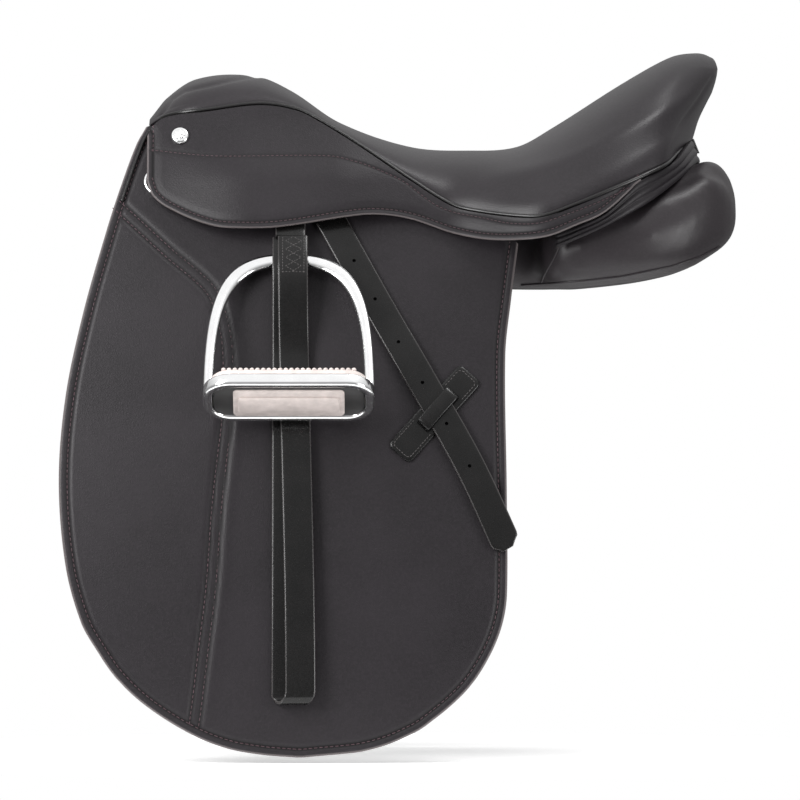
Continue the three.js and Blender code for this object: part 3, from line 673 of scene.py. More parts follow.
def grid_normals(points, centre):
    """Unit normals of a grid of points, away from a centre."""
    normal = np.cross(np.gradient(points, axis=1), np.gradient(points, axis=0))
    normal /= np.maximum(np.linalg.norm(normal, axis=-1, keepdims=True), 1e-9)
    away = np.sign(np.einsum("ijk,ijk->ij", normal, points - centre))
    return normal * np.where(away == 0, 1, away)[..., None]


POMMEL_SEAM = np.array([
    (-206, 144), (-204, 149.5), (-195, 164.5), (-184, 171), (-158, 176), (-142, 180), (-113, 186),
])
CANTLE_SEAM = np.array([(262, 182), (250, 163), (235, 141), (225, 124), (221, 112)])
side_crease_z = through((40, 88), (80, 97), (130, 107), (180, 130), (232, 160), (264, 186))


def seat_relief(x, z):
    """How far the seat's leather stands over its plain dome: soft roll, seams and creases."""
    above = z - side_crease_z(x)
    reach = smooth(x, 55, 110) * (1 - smooth(x, 236, 256))
    crease = 1.3 * ridge(above, 7) - 1.2 * ridge(above + 18, 11)
    pommel = 1.6 * ridge(distance_to(x, z, POMMEL_SEAM), 2)
    cantle = ridge(distance_to(x, z, CANTLE_SEAM), 1.7)
    ahead = 1.2 * smooth(-x, 150, 200) * smooth(z, 140, 160)
    return crease * reach - pommel - cantle - ahead


def build_seat():
    across = 0.5 - 0.5 * np.cos(math.pi * np.linspace(0, 1, 150))
    u, v = np.meshgrid(np.linspace(0.004, 0.996, 230), across)
    outer = dome_point(0, u, v)
    fading = np.minimum(v, 1 - v).clip(0, 0.02) / 0.02
    relief = seat_relief(outer[..., 0], outer[..., 2]) * fading
    outer = outer + grid_normals(outer, np.array([25, 0, 60])) * relief[..., None]
    seat = slab("seat", dome_point(SEAT_THICKNESS, u, v), outer, SEAT_LEATHER)
    place(seat, "saddle", "seat_leather", "seat_cover", "seat_foam")


def build_webbing():
    """Woven straps over the tree, under the foam: some along the seat, some across it."""
    strips = []
    along_spots = [(0.3, 0.72, c - 0.032, c + 0.032) for c in np.linspace(0.37, 0.63, 4)]
    cross_spots = [(c - 0.02, c + 0.02, 0.33, 0.67) for c in np.linspace(0.34, 0.68, 6)]
    for k, (u0, u1, v0, v1) in enumerate(along_spots + cross_spots):
        u, v = np.meshgrid(np.linspace(u0, u1, 40), np.linspace(v0, v1, 30))
        depth = 18.2 if k < len(along_spots) else 17.4
        strips.append(slab("strip", dome_point(depth + 0.7, u, v), dome_point(depth, u, v), WEBBING))
    webbing = join("seat_webbing_straps", strips)
    place(webbing, "saddle", "webbing", "seat_webbing")


def build_lining():
    """The leather that closes the channel between the panels, and hides the seat's underside."""
    u, v = shares(90, 21, -1)
    x = lerp(-128, 268, u)
    crown = lerp(62, 66, smooth(x, 80, 240))
    low = np.stack([x, 34 * v, crown + 5 * (1 - v ** 2)], -1)
    lining = slab("channel_lining", low, low + (0, 0, 1.4), PANEL_LEATHER)
    place(lining, "saddle", "panel_leather")


def build_underside():
    """The leather under the seat's rim, which hides the tree from below."""
    u, v = shares(90, 31, -1)
    x = lerp(-40, 244, u)
    half = seat_half_width(x) - 7
    z = welt_z(x)
    low = np.stack([x - undercut(x, z), v * half, z - 1 - 7 * (1 - v ** 2)], -1)
    sheet = slab("seat_underside", low, low + (0, 0, 1.2), PANEL_LEATHER)
    place(sheet, "saddle", "panel_leather")


def build_cantle_tab():
    """The small leather tab at the middle of the seat's back."""
    half = 9
    y, z = np.meshgrid(np.linspace(-half, half, 13), np.linspace(119, 131, 9))
    x = 256.7 - 0.4 * (z - 105)
    round_off = 1.4 * (np.abs(y) / half) ** 4
    inner = np.stack([x - 2, y, z], -1)
    outer = np.stack([x + 1 - round_off, y, z], -1)
    tab = slab("cantle_tab", inner, outer, WELT_LEATHER)
    place(tab, "saddle", "flap_leather")


def build_welt():
    """The piping between the seat and the skirts."""
    x = np.linspace(-203, 255, 240)
    half = seat_half_width(x) + 3.2 * (1 - smooth(x, 190, 255)) + 0.6
    z = welt_z(x) - 0.6
    for side, name in SIDES:
        path = np.stack([x - undercut(x, z), side * half, z], -1)
        outward = np.tile([0.0, side, 0.25], (len(x), 1))
        welt = piping(f"welt_{name}", path, outward, 1.7, WELT_LEATHER)
        place(welt, "saddle", "flap_leather")


# ---------------------------------------------------------------- flaps


def flap_hem():
    """The flap's round lower edge, from front to rear, as x and z."""
    z = lerp(HEM_CORNER_Z, HEM_Z, np.linspace(0, 1, 80) ** 0.5)
    front = np.stack([flap_front_x(z), z], -1)
    rear = np.stack([flap_rear_x(z), z], -1)
    return resampled(np.concatenate([front, rear[::-1]]), 1.5)


def flap_outline():
    """The flap's free edge: down its front, round its hem and up its rear to the fold."""
    z = np.linspace(HEM_CORNER_Z, FLAP_TOP_Z, 120)
    front = np.stack([flap_front_x(z), z], -1)[::-1]
    z_rear = np.linspace(HEM_CORNER_Z, FOLD_Z, 90)
    rear = np.stack([flap_rear_x(np.minimum(z_rear, FOLD_Z - 1)), z_rear], -1)
    return np.concatenate([front, flap_hem()[1:-1], rear])


FLAP_OUTLINE = flap_outline()
SEAM_LEVELS = np.linspace(-374, 84, 120)
THIGH_SEAM = np.stack([thigh_seam_x(SEAM_LEVELS), SEAM_LEVELS], -1)


def edge_drop(from_edge, radius):
    """How far a rounded edge has fallen from its face."""
    return radius - np.sqrt(radius ** 2 - np.clip(radius - from_edge, 0, radius) ** 2)


def ridge(distance, width):
    """1 on a line, and falling off softly on both sides of it."""
    return np.exp(-(distance / width) ** 2)


def flap_lift(x, z):
    """The flap's outer face over the barrel: a thin rim, soft fields, and the sunk thigh seam.

    It gives the lift, the distance from the free edge, and how deep in a seam each point is.
    """
    from_edge = distance_to(x, z, FLAP_OUTLINE)
    rounding = edge_drop(from_edge, 2.4)
    rim = 1.3 * (1 - smooth(from_edge, RIM_WIDTH - 1.5, RIM_WIDTH + 5))
    rim_line = ridge(from_edge - RIM_WIDTH, 1.7)
    across = distance_to(x, z, THIGH_SEAM) * np.sign(x - thigh_seam_x(z))
    sunk = smooth(across, -13, -8.5) - smooth(across, -0.8, 3.2)
    lines = ridge(across, 1.7) + ridge(across + 8, 1.7)
    roll = 0.5 * ridge(across - 6, 4)
    inside = smooth(from_edge, 2, RIM_WIDTH + 3)
    crease = np.maximum(rim_line, lines * inside)
    lift = -0.25 - rounding - rim - 0.9 * crease - (0.9 * sunk - roll) * inside
    return lift, from_edge, crease


def flap_grid(columns, rows):
    """Coons patch between the flap's edges, in the x, z plane."""
    u, v = np.meshgrid(clustered(columns), clustered(rows))
    hem_points = flap_hem()
    travelled = np.linspace(0, 1, len(hem_points))
    hem = np.stack([np.interp(u, travelled, hem_points[:, k]) for k in (0, 1)], -1)
    z = lerp(HEM_CORNER_Z, FLAP_TOP_Z, v)
    front = np.stack([flap_front_x(z), z], -1)
    under_fold = flap_rear_x(np.minimum(z, FOLD_Z - 1))
    rear_x = np.where(z < FOLD_Z, under_fold, flap_top_rear_x(np.maximum(z, FOLD_Z)))
    rear = np.stack([rear_x, z], -1)
    top = np.stack([lerp(-215, -70, u), np.full_like(u, FLAP_TOP_Z)], -1)
    low_front, low_rear = hem_points[0], hem_points[-1]
    high_front, high_rear = top[0, 0], top[0, -1]
    u, v = u[..., None], v[..., None]
    corners = (
        (1 - u) * (1 - v) * low_front + u * (1 - v) * low_rear
        + (1 - u) * v * high_front + u * v * high_rear
    )
    return (1 - v) * hem + v * top + (1 - u) * front + u * rear - corners


def sheet_with_painted_light(name, inner, outer, edge_band, crease):
    """A leather sheet with a painted highlight along its edge and painted shade in its seams."""
    sheet = slab(name, inner, outer, FLAP_LEATHER)
    paint(sheet, "edge", np.stack([edge_band, edge_band]))
    return paint(sheet, "crease", np.stack([0 * crease, crease]))


def sewn(name, surface, paths, *gauge):
    """Stitches along paths of x and z on a surface."""
    lines = [on_surface(surface, path[:, 0], path[:, 1]) for path in paths]
    return stitches(name, lines, THREAD, *gauge)


def blend_flap(obj):
    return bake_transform(obj)


def build_flaps():
    grid = flap_grid(250, 330)
    x, z = grid[..., 0], grid[..., 1]
    lift, from_edge, crease = flap_lift(x, z)
    # Near the free edge: this thins the rim, and marks where the painted edge highlight goes.
    edge_band = 1 - smooth(from_edge, 0.4, 2.6)
    edge_path = inset_path(FLAP_OUTLINE, RIM_WIDTH)
    edge_path = edge_path[edge_path[:, 1] < 130]
    paths = [edge_path, THIGH_SEAM[4:-2], inset_path(THIGH_SEAM[4:-2], 8)]
    for side, name in SIDES:
        def face(x, z):
            return on_barrel(side, x, z, flap_lift(x, z)[0])

        inner = on_barrel(side, x, z, FLAP_INNER + 0.9 * edge_band)
        outer = on_barrel(side, x, z, lift)
        flap = sheet_with_painted_light(f"flap_{name}_leather", inner, outer, edge_band, crease)
        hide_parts(f"flap_{name}", f"flap_top_{name}")
        blend_flap(flap)
        sewing = sewn(f"flap_{name}_stitching", face, paths)
        blend_flap(sewing)


def build_front_welts():
    """The second leather edge that shows along the top of each flap's front."""
    z = np.linspace(76, 136, 40)
    for side, name in SIDES:
        path = on_barrel(side, flap_front_x(z) + 5.5, z, 0.3)
        welt = piping(f"flap_{name}_front_welt", path, barrel_normal(side, z), 1.3, WELT_LEATHER)
        place(welt, "saddle", "flap_leather")


def inset_path(path, distance):
    """The path moved to its left by a distance."""
    even = resampled(path, 4)
    along = tangents(even)
    return even + distance * np.stack([-along[:, 1], along[:, 0]], -1)


# ---------------------------------------------------------------- skirts


def skirt_base(x, z):
    """The skirt's rise over the barrel as it passes over the bar and the leathers."""
    over = smooth(x, -212, -126) * (1 - smooth(x, -58, 24)) * (1 - smooth(z, 92, 150))
    return 4 + 11.8 * over


def skirt_high_z(x):
    corner = 12 * (1 - np.sqrt(1 - np.clip((-200 - x) / 14, 0, 1) ** 2))
    return welt_z(x) - 2.4 - corner


SKIRT_THICKNESS = 3.4
SKIRT_FRONT = -213.5
SKIRT_TIP = 199


def skirt_low(x):
    """The lower edge, with its round front corner and the tip at the rear."""
    tip = smooth(x, 186, SKIRT_TIP) ** 3
    return lerp(np.minimum(skirt_low_z(x), welt_z(x) - 6), welt_z(x) - 4, tip)


def skirt_outline():
    x = lerp(SKIRT_FRONT, SKIRT_TIP, clustered(160, 0.9))
    low = np.stack([x, skirt_low(x)], -1)
    front = np.array([(SKIRT_FRONT, float(skirt_high_z(SKIRT_FRONT)))])
    return np.concatenate([front, low])


SKIRT_OUTLINE = skirt_outline()
mid_stitch_z = through(
    (-209, 119), (-158, 114), (-62, 114), (-38, 109), (-19, 102), (2, 92), (26, 74), (42, 67),
    (66, 62), (90, 57), (114, 57), (138, 64.5), (165, 75), (188, 86),
)


def skirt_lift(x, z):
    from_edge = distance_to(x, z, SKIRT_OUTLINE)
    rounding = edge_drop(from_edge, 2)
    above = z - mid_stitch_z(x)
    crease = np.maximum(ridge(from_edge - 5, 1.5), 0.7 * ridge(above, 1.4))
    tier = 1.1 * smooth(above, 0, 5) * smooth(x, 20, 70)
    field = 0.7 * smooth(from_edge, 5, 13)
    lift = skirt_base(x, z) + SKIRT_THICKNESS - 0.7 - rounding - 0.65 * crease + tier + field
    return lift, from_edge, crease


def on_skirt(side, x, z, lift):
    """Like on_barrel, but z is the point's own height, and the skirt flares with the seat."""
    x, z, lift = np.broadcast_arrays(*(np.asarray(a, float) for a in (x, z, lift)))
    reach = BARREL_RADIUS + lift
    y = BARREL_Y + np.sqrt(reach ** 2 - (z - BARREL_Z) ** 2) + flare(x)
    return np.stack([x, side * y, z], -1)


def blend_skirt(obj, side):
    """Bakes the skirt's transform into its mesh. The line from the pommel to the waist that it would
    fold about is worked out, but nothing folds.
    """
    line_start = on_skirt(side, -213, 120, 8)
    line_end = on_skirt(side, 75, 62.9, 8)
    down = np.cross(unit(line_end - line_start), barrel_normal(side, 90))
    down *= -np.sign(down[2])
    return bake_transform(obj)


def build_skirts():
    u, v = np.meshgrid(clustered(260, 0.7), clustered(80, 0.7))
    x = lerp(SKIRT_FRONT, SKIRT_TIP, u)
    z = lerp(skirt_low(x), np.maximum(skirt_high_z(x), skirt_low(x) + 1), v)
    lift, from_edge, crease = skirt_lift(x, z)
    # Near the free edge, where the painted edge highlight goes.
    edge_band = 1 - smooth(from_edge, 0.5, 2.4)
    edge_path = inset_path(SKIRT_OUTLINE[1:], 5)
    mid_x = np.linspace(-209, 188, 160)
    paths = [
        edge_path[edge_path[:, 0] > -209],
        np.stack([mid_x, mid_stitch_z(mid_x)], -1),
        np.stack([np.full(8, -208.5), np.linspace(119, 139, 8)], -1),
    ]
    for side, name in SIDES:
        def face(x, z):
            return on_skirt(side, x, z, skirt_lift(x, z)[0])

        inner = on_skirt(side, x, z, skirt_base(x, z))
        outer = on_skirt(side, x, z, lift)
        skirt = sheet_with_painted_light(f"skirt_{name}_leather", inner, outer, edge_band, crease)
        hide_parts(f"skirt_{name}", f"skirt_top_{name}")
        blend_skirt(skirt, side)
        sewing = sewn(f"skirt_{name}_stitching", face, paths, 3.9, 2.7, 0.7, 0.45)
        blend_skirt(sewing, side)


# ---------------------------------------------------------------- panels and padding


def inflate(obj, voxel, pressure, cap, frames=20):
    """Puffs a closed mesh up as cloth round its stuffing, and keeps each point within cap."""
    remesh = obj.modifiers.new("remesh", "REMESH")
    remesh.mode = "VOXEL"
    remesh.voxel_size = voxel * MM
    apply_modifiers(obj)
    start = np.array([v.co for v in obj.data.vertices])
    cloth = obj.modifiers.new("cloth", "CLOTH")
    cloth.settings.use_pressure = True
    cloth.settings.uniform_pressure_force = pressure
    cloth.settings.quality = 5
    cloth.settings.effector_weights.gravity = 0
    cloth.point_cache.frame_start = 1
    cloth.point_cache.frame_end = frames
    for number in range(1, frames + 1):
        bpy.context.scene.frame_set(number)
    apply_modifiers(obj)
    bpy.context.scene.frame_set(1)
    settled = np.array([v.co for v in obj.data.vertices])
    moved = settled - start
    moved -= moved.mean(0)
    length = np.linalg.norm(moved, axis=1, keepdims=True)
    limited = start + moved * np.minimum(1, cap * MM / np.maximum(length, 1e-9))
    obj.data.vertices.foreach_set("co", limited.ravel())
    softened = obj.modifiers.new("soften", "SMOOTH")
    softened.iterations = 4
    softened.factor = 0.5
    finer = obj.modifiers.new("finer", "SUBSURF")
    finer.levels = finer.render_levels = 1
    apply_modifiers(obj)
    obj.data.polygons.foreach_set("use_smooth", [True] * len(obj.data.polygons))
    return obj


panel_low_z = through(
    (-196, 64), (-150, 40), (-90, 18), (-20, 4), (60, 0), (107, 0.8), (167, 4), (207, 9),
    (240, 18), (260, 30), (275, 42), (284, 60),
)
panel_high_z = through(
    (-196, 78), (-150, 66), (-90, 60), (-20, 56), (60, 58), (120, 60), (160, 70), (200, 84),
    (225, 94), (236, 97), (248, 104), (256, 110), (263, 109), (270, 103), (278, 91), (284, 70),
)
panel_outer_y = through(
    (-196, 62), (-150, 66), (-90, 76), (-20, 86), (60, 90), (112, 94), (130, 128), (170, 136),
    (220, 134), (255, 118), (275, 92), (284, 62),
)


def panel_faces(side, inset):
    """The panel's underside and top, before it is stuffed."""
    u, v = shares(70, 19)
    x = lerp(-196 + inset, 284 - inset, u)
    y = side * lerp(GULLET_HALF_WIDTH + inset, panel_outer_y(x) - inset, v)
    middle = (panel_low_z(x) + panel_high_z(x)) / 2
    low_roll = np.sqrt(1 - np.abs(2 * v - 1) ** 3)
    high_roll = np.sqrt(1 - np.abs(2 * v - 1) ** 14)
    slope = 16 * (1 - v) * low_roll * (1 - u * u)
    low = middle + (panel_low_z(x) + inset - middle) * low_roll + slope - 1
    fall = 14 * smooth(v, 0.45, 0.85) * smooth(x, 150, 230) - 5 * smooth(x, 190, 225)
    high = middle + (panel_high_z(x) - inset - fall - middle) * high_roll + 1
    return np.stack([x, y, low], -1), np.stack([x, y, np.maximum(high, low + 1)], -1)


def build_panels():
    for side, name in SIDES:
        low, high = panel_faces(side, 3)
        panel = slab(f"panel_{name}_cushion", low, high, PANEL_LEATHER)
        inflate(panel, 6, 4, 6)
        build_panel_seams(panel, side, name)
        place(panel, "saddle", "panel_leather", f"panel_{name}")


def projected(obj, side, spots):
    """Where (x, z) spots seen from the side land on a piece: points and normals, in millimetres."""
    mesh = obj.data
    tree = BVHTree.FromPolygons([v.co for v in mesh.vertices], [p.vertices for p in mesh.polygons])
    points, normals = [], []
    for x, z in spots:
        start = Vector((x * MM, side * 0.4, z * MM))
        hit, normal = tree.ray_cast(start, Vector((0, -side, 0)))[:2]
        if hit is not None:
            points.append(np.array(hit) / MM)
            normals.append(np.array(normal) * (1 if normal[1] * side > 0 else -1))
    return np.array(points), np.array(normals)


def build_panel_seams(panel, side, name):
    """The piped seam low on the panel, and the front edge of its rear gusset."""
    low = [(100, 6.5), (150, 9.5), (183, 13), (225, 21.5), (249, 29.5), (266, 38.5)]
    gusset = [(134, 44), (127, 28), (119, 14), (117, 9)]
    for label, spots, spacing, radius in (("low", low, 3, 1.0), ("gusset", gusset, 2, 0.9)):
        points, normals = projected(panel, side, resampled(np.array(spots, float), spacing))
        points += 0.2 * normals
        seam = piping(f"panel_{name}_{label}_seam", points, normals, radius, PANEL_LEATHER)
        place(seam, "saddle", "panel_leather")


def barrel_pad(name, side, x, z, outer, inner, cap):
    """A soft pad between two lifts over the barrel."""
    pad = slab(name, on_barrel(side, x, z, inner), on_barrel(side, x, z, outer), PANEL_LEATHER)
    return inflate(pad, 5, 4, cap)


def build_front_padding():
    """The thin cushions behind the sweat flaps, and the knee blocks under the flaps."""
    u, v = shares(33, 45)
    z = lerp(-188, 82, v)
    narrowing = 1 - np.sqrt(1 - 0.96 * np.clip((-z - 60) / 128, 0, 1) ** 2.4)
    x = lerp(-203, -53, u) + lerp(86, -60, u) * narrowing + 9 * smooth(z, 20, 60) * (1 - u) ** 4
    on_point = smooth(z, -2, 10) * smooth(x, -182, -168)
    outer = lerp(-23.4, -33.4, on_point)
    depth = lerp(5, 16, np.sin(math.pi * u) ** 0.5 * np.minimum(3 * v, 1))
    inner = np.minimum(np.maximum(-23.4 - depth, -40.4), outer - 4)
    knee_z = lerp(-262, FOLD_Z - 18, v)
    girth = np.sqrt(1 - np.abs(2 * v - 1) ** 4 * 0.94) * 0.5
    knee_x = -216 - 14 * np.sin(math.pi * v) + 60 * girth * (2 * u - 1)
    fall = np.minimum(np.abs(2 * u - 1) ** 4 + np.abs(2 * v - 1) ** 6, 1)
    for side, name in SIDES:
        front = barrel_pad(f"panel_front_{name}_cushion", side, x, z, outer, inner, 1.5)
        place(front, "saddle", "panel_leather", f"panel_front_{name}")
        knee = barrel_pad(f"knee_block_{name}_pad", side, knee_x, knee_z, -6.4 - 6 * fall, -16.5, 1)
        place(knee, "saddle", "flap_leather", f"knee_block_{name}")


def build_sweat_flaps():
    """The sheets next to the horse: the flap's outline, inset all round and lower at the top."""
    inset = 12
    centre = np.array([-95, -120])
    span = np.array([360, 500])
    grid = centre + (flap_grid(60, 90) - centre) * (1 - 2 * inset / span)
    x, z = grid[..., 0], grid[..., 1]
    z = np.where(z > 0, z * 86 / 128, z)
    for side, name in SIDES:
        inner, outer = (on_barrel(side, x, z, lift) for lift in (-22, -18.4))
        sheet = slab(f"sweat_flap_{name}_leather", inner, outer, FLAP_LEATHER)
        place(sheet, "saddle", "flap_leather", f"sweat_flap_{name}")


# ---------------------------------------------------------------- pommel and cantle


def build_pommel_facing():
    """The arch of leather that closes the pommel's front."""
    u, v = shares(90, 16)
    angle = math.pi * lerp(0.02, 0.98, u)
    wide = np.sign(np.cos(angle)) * np.abs(np.cos(angle)) ** 0.8
    puff = 2 * np.sin(math.pi * v) ** 0.7

    def face(step):
        x = -212 - step + 10 * (1 - v)
        return np.stack([x, wide * lerp(44, 80, v), 62 + lerp(60, 80, v) * np.sin(angle) ** 0.7], -1)

    facing = slab("pommel_facing_leather", face(0), face(2.5 + puff), FLAP_LEATHER)
    place(facing, "saddle", "flap_leather", "pommel_facing")


def build_cantle_band():
    """The band round the back of the seat, with three rolled ridges along it."""
    u, v = shares(220, 29)
    angle = lerp(-1, 1, u) * math.pi / 2
    x = lerp(BAND_FRONT, BAND_REAR, np.cos(angle).clip(0, 1) ** 0.8)
    z = lerp(band_low_z(np.minimum(x, BAND_REAR - 3)) - 1, band_high_z(x) + 1.5, v)
    tuck = 10 * (1 - smooth(x, BAND_FRONT, BAND_FRONT + 24))
    lean = 0.35 * np.maximum(z - 105, 0) * smooth(x, 212, BAND_REAR)

    def rim(inset, proud):
        half = CANTLE_HALF_WIDTH - inset + proud - tuck
        half = half * rounding_off(x - BAND_FRONT, BAND_REAR + 1 - BAND_FRONT, 3.4)
        taken_in = inset * (x - BAND_FRONT) / (BAND_REAR - BAND_FRONT)
        reach = x - lean - taken_in + proud * smooth(x, 150, 250)
        return np.stack([reach, np.sign(angle) * half, z], -1)

    ridges = 1.3 * np.abs(np.sin(3 * math.pi * v)) ** 0.6
    band = slab("cantle_band_leather", rim(4, 0), rim(1, ridges), FLAP_LEATHER)
    place(band, "saddle", "flap_leather", "cantle_band")


# ---------------------------------------------------------------- straps


def strap_on_barrel(name, side, x, z, lift, width=STRAP_WIDTH, thickness=STRAP_THICKNESS):
    """A strap whose centre line is x, z and lift at each station; it is level across."""
    centres = on_barrel(side, x, z, lift)
    across = np.tile([1.0, 0, 0], (len(centres), 1))
    outward = unit(np.cross(across, tangents(centres)))
    profile = strap_profile(width, thickness)
    strap = swept(name, centres, across, outward, profile, STRAP_LEATHER)
    return crisp(highlighted_edges(strap, profile, len(centres)))


def half_turn(z, lift, radius, start, end, steps):
    """Where a strap turns back on itself, as z and lift."""
    angle = np.linspace(start, end, steps)
    return np.stack([z + radius * np.sin(angle), lift + radius * np.cos(angle)], -1)


strand_inner_lift = through(
    (LOOP_BOTTOM_Z, 2.2), (-60, 2.2), (-48, 3), (6, 16.4), (24, 15), (FOLD_Z, 10),
)
strand_outer_lift = through(
    (LOOP_BOTTOM_Z, 12.2), (-130, 8), (-60, 5.8), (-48, 6.6), (6, 20), (24, 18.6), (FOLD_Z, 13.6),
)


def build_leathers():
    """Each leather's top, over the bar, and its loop, which hangs through the iron."""
    levels = np.linspace(41.6, LOOP_BOTTOM_Z + 4, 75)
    down = np.stack([levels, strand_inner_lift(levels)], -1)
    bottom = half_turn(LOOP_BOTTOM_Z, 7.2, 5, math.pi, 2 * math.pi, 14)
    up = np.stack([levels, strand_outer_lift(levels)], -1)[::-1]
    path = np.concatenate([down, bottom, up])
    turned = np.clip((np.arange(len(path)) - len(down)) / len(bottom), 0, 1)
    drift = lerp(-84, -91, smooth(path[:, 0], LOOP_BOTTOM_Z, FOLD_Z))
    centre_x = lerp(-95.5, drift, turned)
    top_path = np.concatenate([
        np.array([(42, 10), (50, 5.4), (58, 2.2), (70, 1.9), (78, 1.9)], float),
        half_turn(86, 6.9, 5, math.pi, 0, 9),
        np.array([(76, 11.9), (64, 10.4), (50, 11.6), (42, 13.6)], float),
    ])
    z, lift = resampled(top_path, 3).T
    for side, name in SIDES:
        loop = strap_on_barrel(f"leather_loop_{name}_strap", side, centre_x, path[:, 0], path[:, 1])
        place(loop, f"leather_{name}", "strap_leather", f"leather_loop_{name}")
        top = strap_on_barrel(f"leather_top_{name}_strap", side, -93, z, lift)
        place(top, "saddle", "strap_leather", f"leather_top_{name}")
        build_splice(side, name)


def build_splice(side, name):
    """The sewing near the top of the front strand: a zigzag inside a border."""
    def face(x, z):
        return on_barrel(side, x, z, strand_outer_lift(z) + STRAP_THICKNESS / 2 + 0.1)

    z = np.linspace(40, 11, 80)
    swing = 6.5 * (2 / math.pi) * np.arcsin(np.sin(2 * math.pi * (z - 11) / 15))
    lines = [
        on_surface(face, -90.4 + swing, z),
        on_surface(face, -90.4 - swing, z),
        on_surface(face, np.linspace(-99, -82, 12), np.full(12, 10.0)),
        on_surface(face, np.full(20, -99.4), np.linspace(40, 10, 20)),
        on_surface(face, np.full(20, -81.6), np.linspace(40, 10, 20)),
    ]
    sewing = stitches(f"leather_{name}_splice", lines, STRAP_THREAD, 2.6, 1.9, 0.55, 0.35)
    place(sewing, f"leather_{name}", "strap_leather")


TAIL_ACROSS = np.array([10.8, 6.3]) / 12.5
tail_x = through((-0.08, -61), (0, -49.5), (0.19, -22.5), (0.46, 17), (0.73, 56), (1, 88))


def tail_spot(t):
    """The tail's centre line on the barrel, as x and z."""
    return np.stack([tail_x(t), lerp(FOLD_Z - 0.4, TAIL_END_Z, t)], -1)


def punch(obj, spots, outward, radius):
    """Cuts round holes through a strap."""
    cutters = []
    for spot, normal in zip(spots, outward):
        bpy.ops.mesh.primitive_cylinder_add(vertices=20, radius=radius * MM, depth=14 * MM)
        cutter = bpy.context.object
        cutter.location = Vector(spot * MM)
        cutter.rotation_euler = Vector(normal).to_track_quat("Z", "Y").to_euler()
        cutters.append(cutter)
    tool = join("punch", cutters)
    cut = obj.modifiers.new("punch", "BOOLEAN")
    cut.operation = "DIFFERENCE"
    cut.solver = "EXACT"
    cut.object = tool
    apply_modifiers(obj)
    bpy.data.objects.remove(tool)
    return crisp(obj)


def build_tails():
    """The free ends of the leathers, which slant back over the flaps to their keepers."""
    t = np.linspace(-0.08, 1, 100)
    x, z = tail_spot(t).T
    lift = lerp(0.5, 2.8, smooth(t, 0.25, 0.42)) + STRAP_THICKNESS / 2
    narrowing = 1 - 0.62 * smooth(t, 0.965, 1) ** 2
    profile = strap_profile(STRAP_WIDTH, STRAP_THICKNESS)
    hole_x, hole_z = np.array([
        (-40, 25), (-22.5, -7), (-3, -43), (17, -77), (37, -111), (56, -146),
    ]).T
    for side, name in SIDES:
        centres = on_barrel(side, x, z, lift)
        beside = on_barrel(side, x + TAIL_ACROSS[0], z + TAIL_ACROSS[1], lift)
        tail = swept(
            f"leather_tail_{name}_strap", centres, unit(beside - centres), barrel_normal(side, z),
            profile, STRAP_LEATHER, scale=narrowing,
        )
        highlighted_edges(tail, profile, len(centres))
        punch(tail, on_barrel(side, hole_x, hole_z, 2), barrel_normal(side, hole_z), 1.5)
        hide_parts(f"leather_tail_{name}")
        blend_flap(tail)


def keeper_spot(a, b):
    """Keeper coordinates, along and across it, as x and z on the barrel."""
    x = KEEPER_CENTRE[0] + a * math.cos(KEEPER_TILT) - b * math.sin(KEEPER_TILT)
    z = KEEPER_CENTRE[1] + a * math.sin(KEEPER_TILT) + b * math.cos(KEEPER_TILT)
    return x, z


def build_keepers():
    """A stitched base plate, and the glossy loop that holds the leather's tail."""
    rings = [(1, 0.4), (1, 1.3), (0.985, 1.9), (0.96, 2.2), (0.8, 2.3), (0.4, 2.35)]
    outline = round_profile(90, 24, 5, 6)
    over, rise = resampled(np.array([
        (-14.3, 1.2), (-14.3, 4.5), (-13.2, 7), (-10.5, 7.7), (4.2, 8.2), (19, 7.7), (21.7, 7),
        (22.8, 4.5), (22.8, 1.2),
    ]), 1.2).T
    border = round_profile(84, 18, 3.5, 6)
    a, b = resampled(np.concatenate([border, border[:1]]), 1.5).T
    border_x, border_z = keeper_spot(a, b)
    free = (a < -15.5) | (a > 24)
    runs = np.split(np.arange(len(a)), np.flatnonzero(np.diff(free.astype(int))) + 1)
    runs = [run for run in runs if free[run[0]] and len(run) > 3]
    for side, name in SIDES:
        def lifted(a, b, lift):
            x, z = keeper_spot(a, b)
            return on_barrel(side, x, z, lift)

        stack = []
        for share, lift in rings:
            shrunk = outline * (1 - 12 * (1 - share) / 45, share)
            stack.append(lifted(*shrunk.T, lift))
        base = tube(f"keeper_{name}_base", np.array(stack), STRAP_LEATHER)
        centres = lifted(over, 0, rise)
        across = unit(lifted(over, 1, rise) - centres)
        outward = np.cross(across, tangents(centres))
        section = round_profile(13, 2.2, 0.9)
        loop = swept(f"keeper_{name}_loop", centres, across, outward, section, STRAP_LEATHER)
        keeper = join(f"keeper_{name}_leather", [base, loop])
        place(keeper, f"flap_{name}", "strap_leather", f"keeper_{name}")

        def face(x, z):
            return on_barrel(side, x, z, 2.3)

        lines = [on_surface(face, border_x[run], border_z[run]) for run in runs]
        sewing = stitches(f"keeper_{name}_stitching", lines, STRAP_THREAD, 2.9, 2.1, 0.6, 0.35)
        place(sewing, f"flap_{name}", "strap_leather")


def build_billets():
    """The long girth straps between flap and sweat flap."""
    z = np.linspace(34, -318, 60)
    holes = np.arange(-300, -150, 25.0)
    for side, name in SIDES:
        for where, x in (("front", -60), ("rear", 30)):
            strap = strap_on_barrel(f"billet_{where}_{name}_strap", side, x, z, -12, thickness=4)
            spots = on_barrel(side, np.full(len(holes), x), holes, -12)
            punch(strap, spots, barrel_normal(side, holes), 2)
            place(strap, f"billet_{where}_{name}", "strap_leather", f"billet_{where}_{name}")


# ---------------------------------------------------------------- stirrup irons


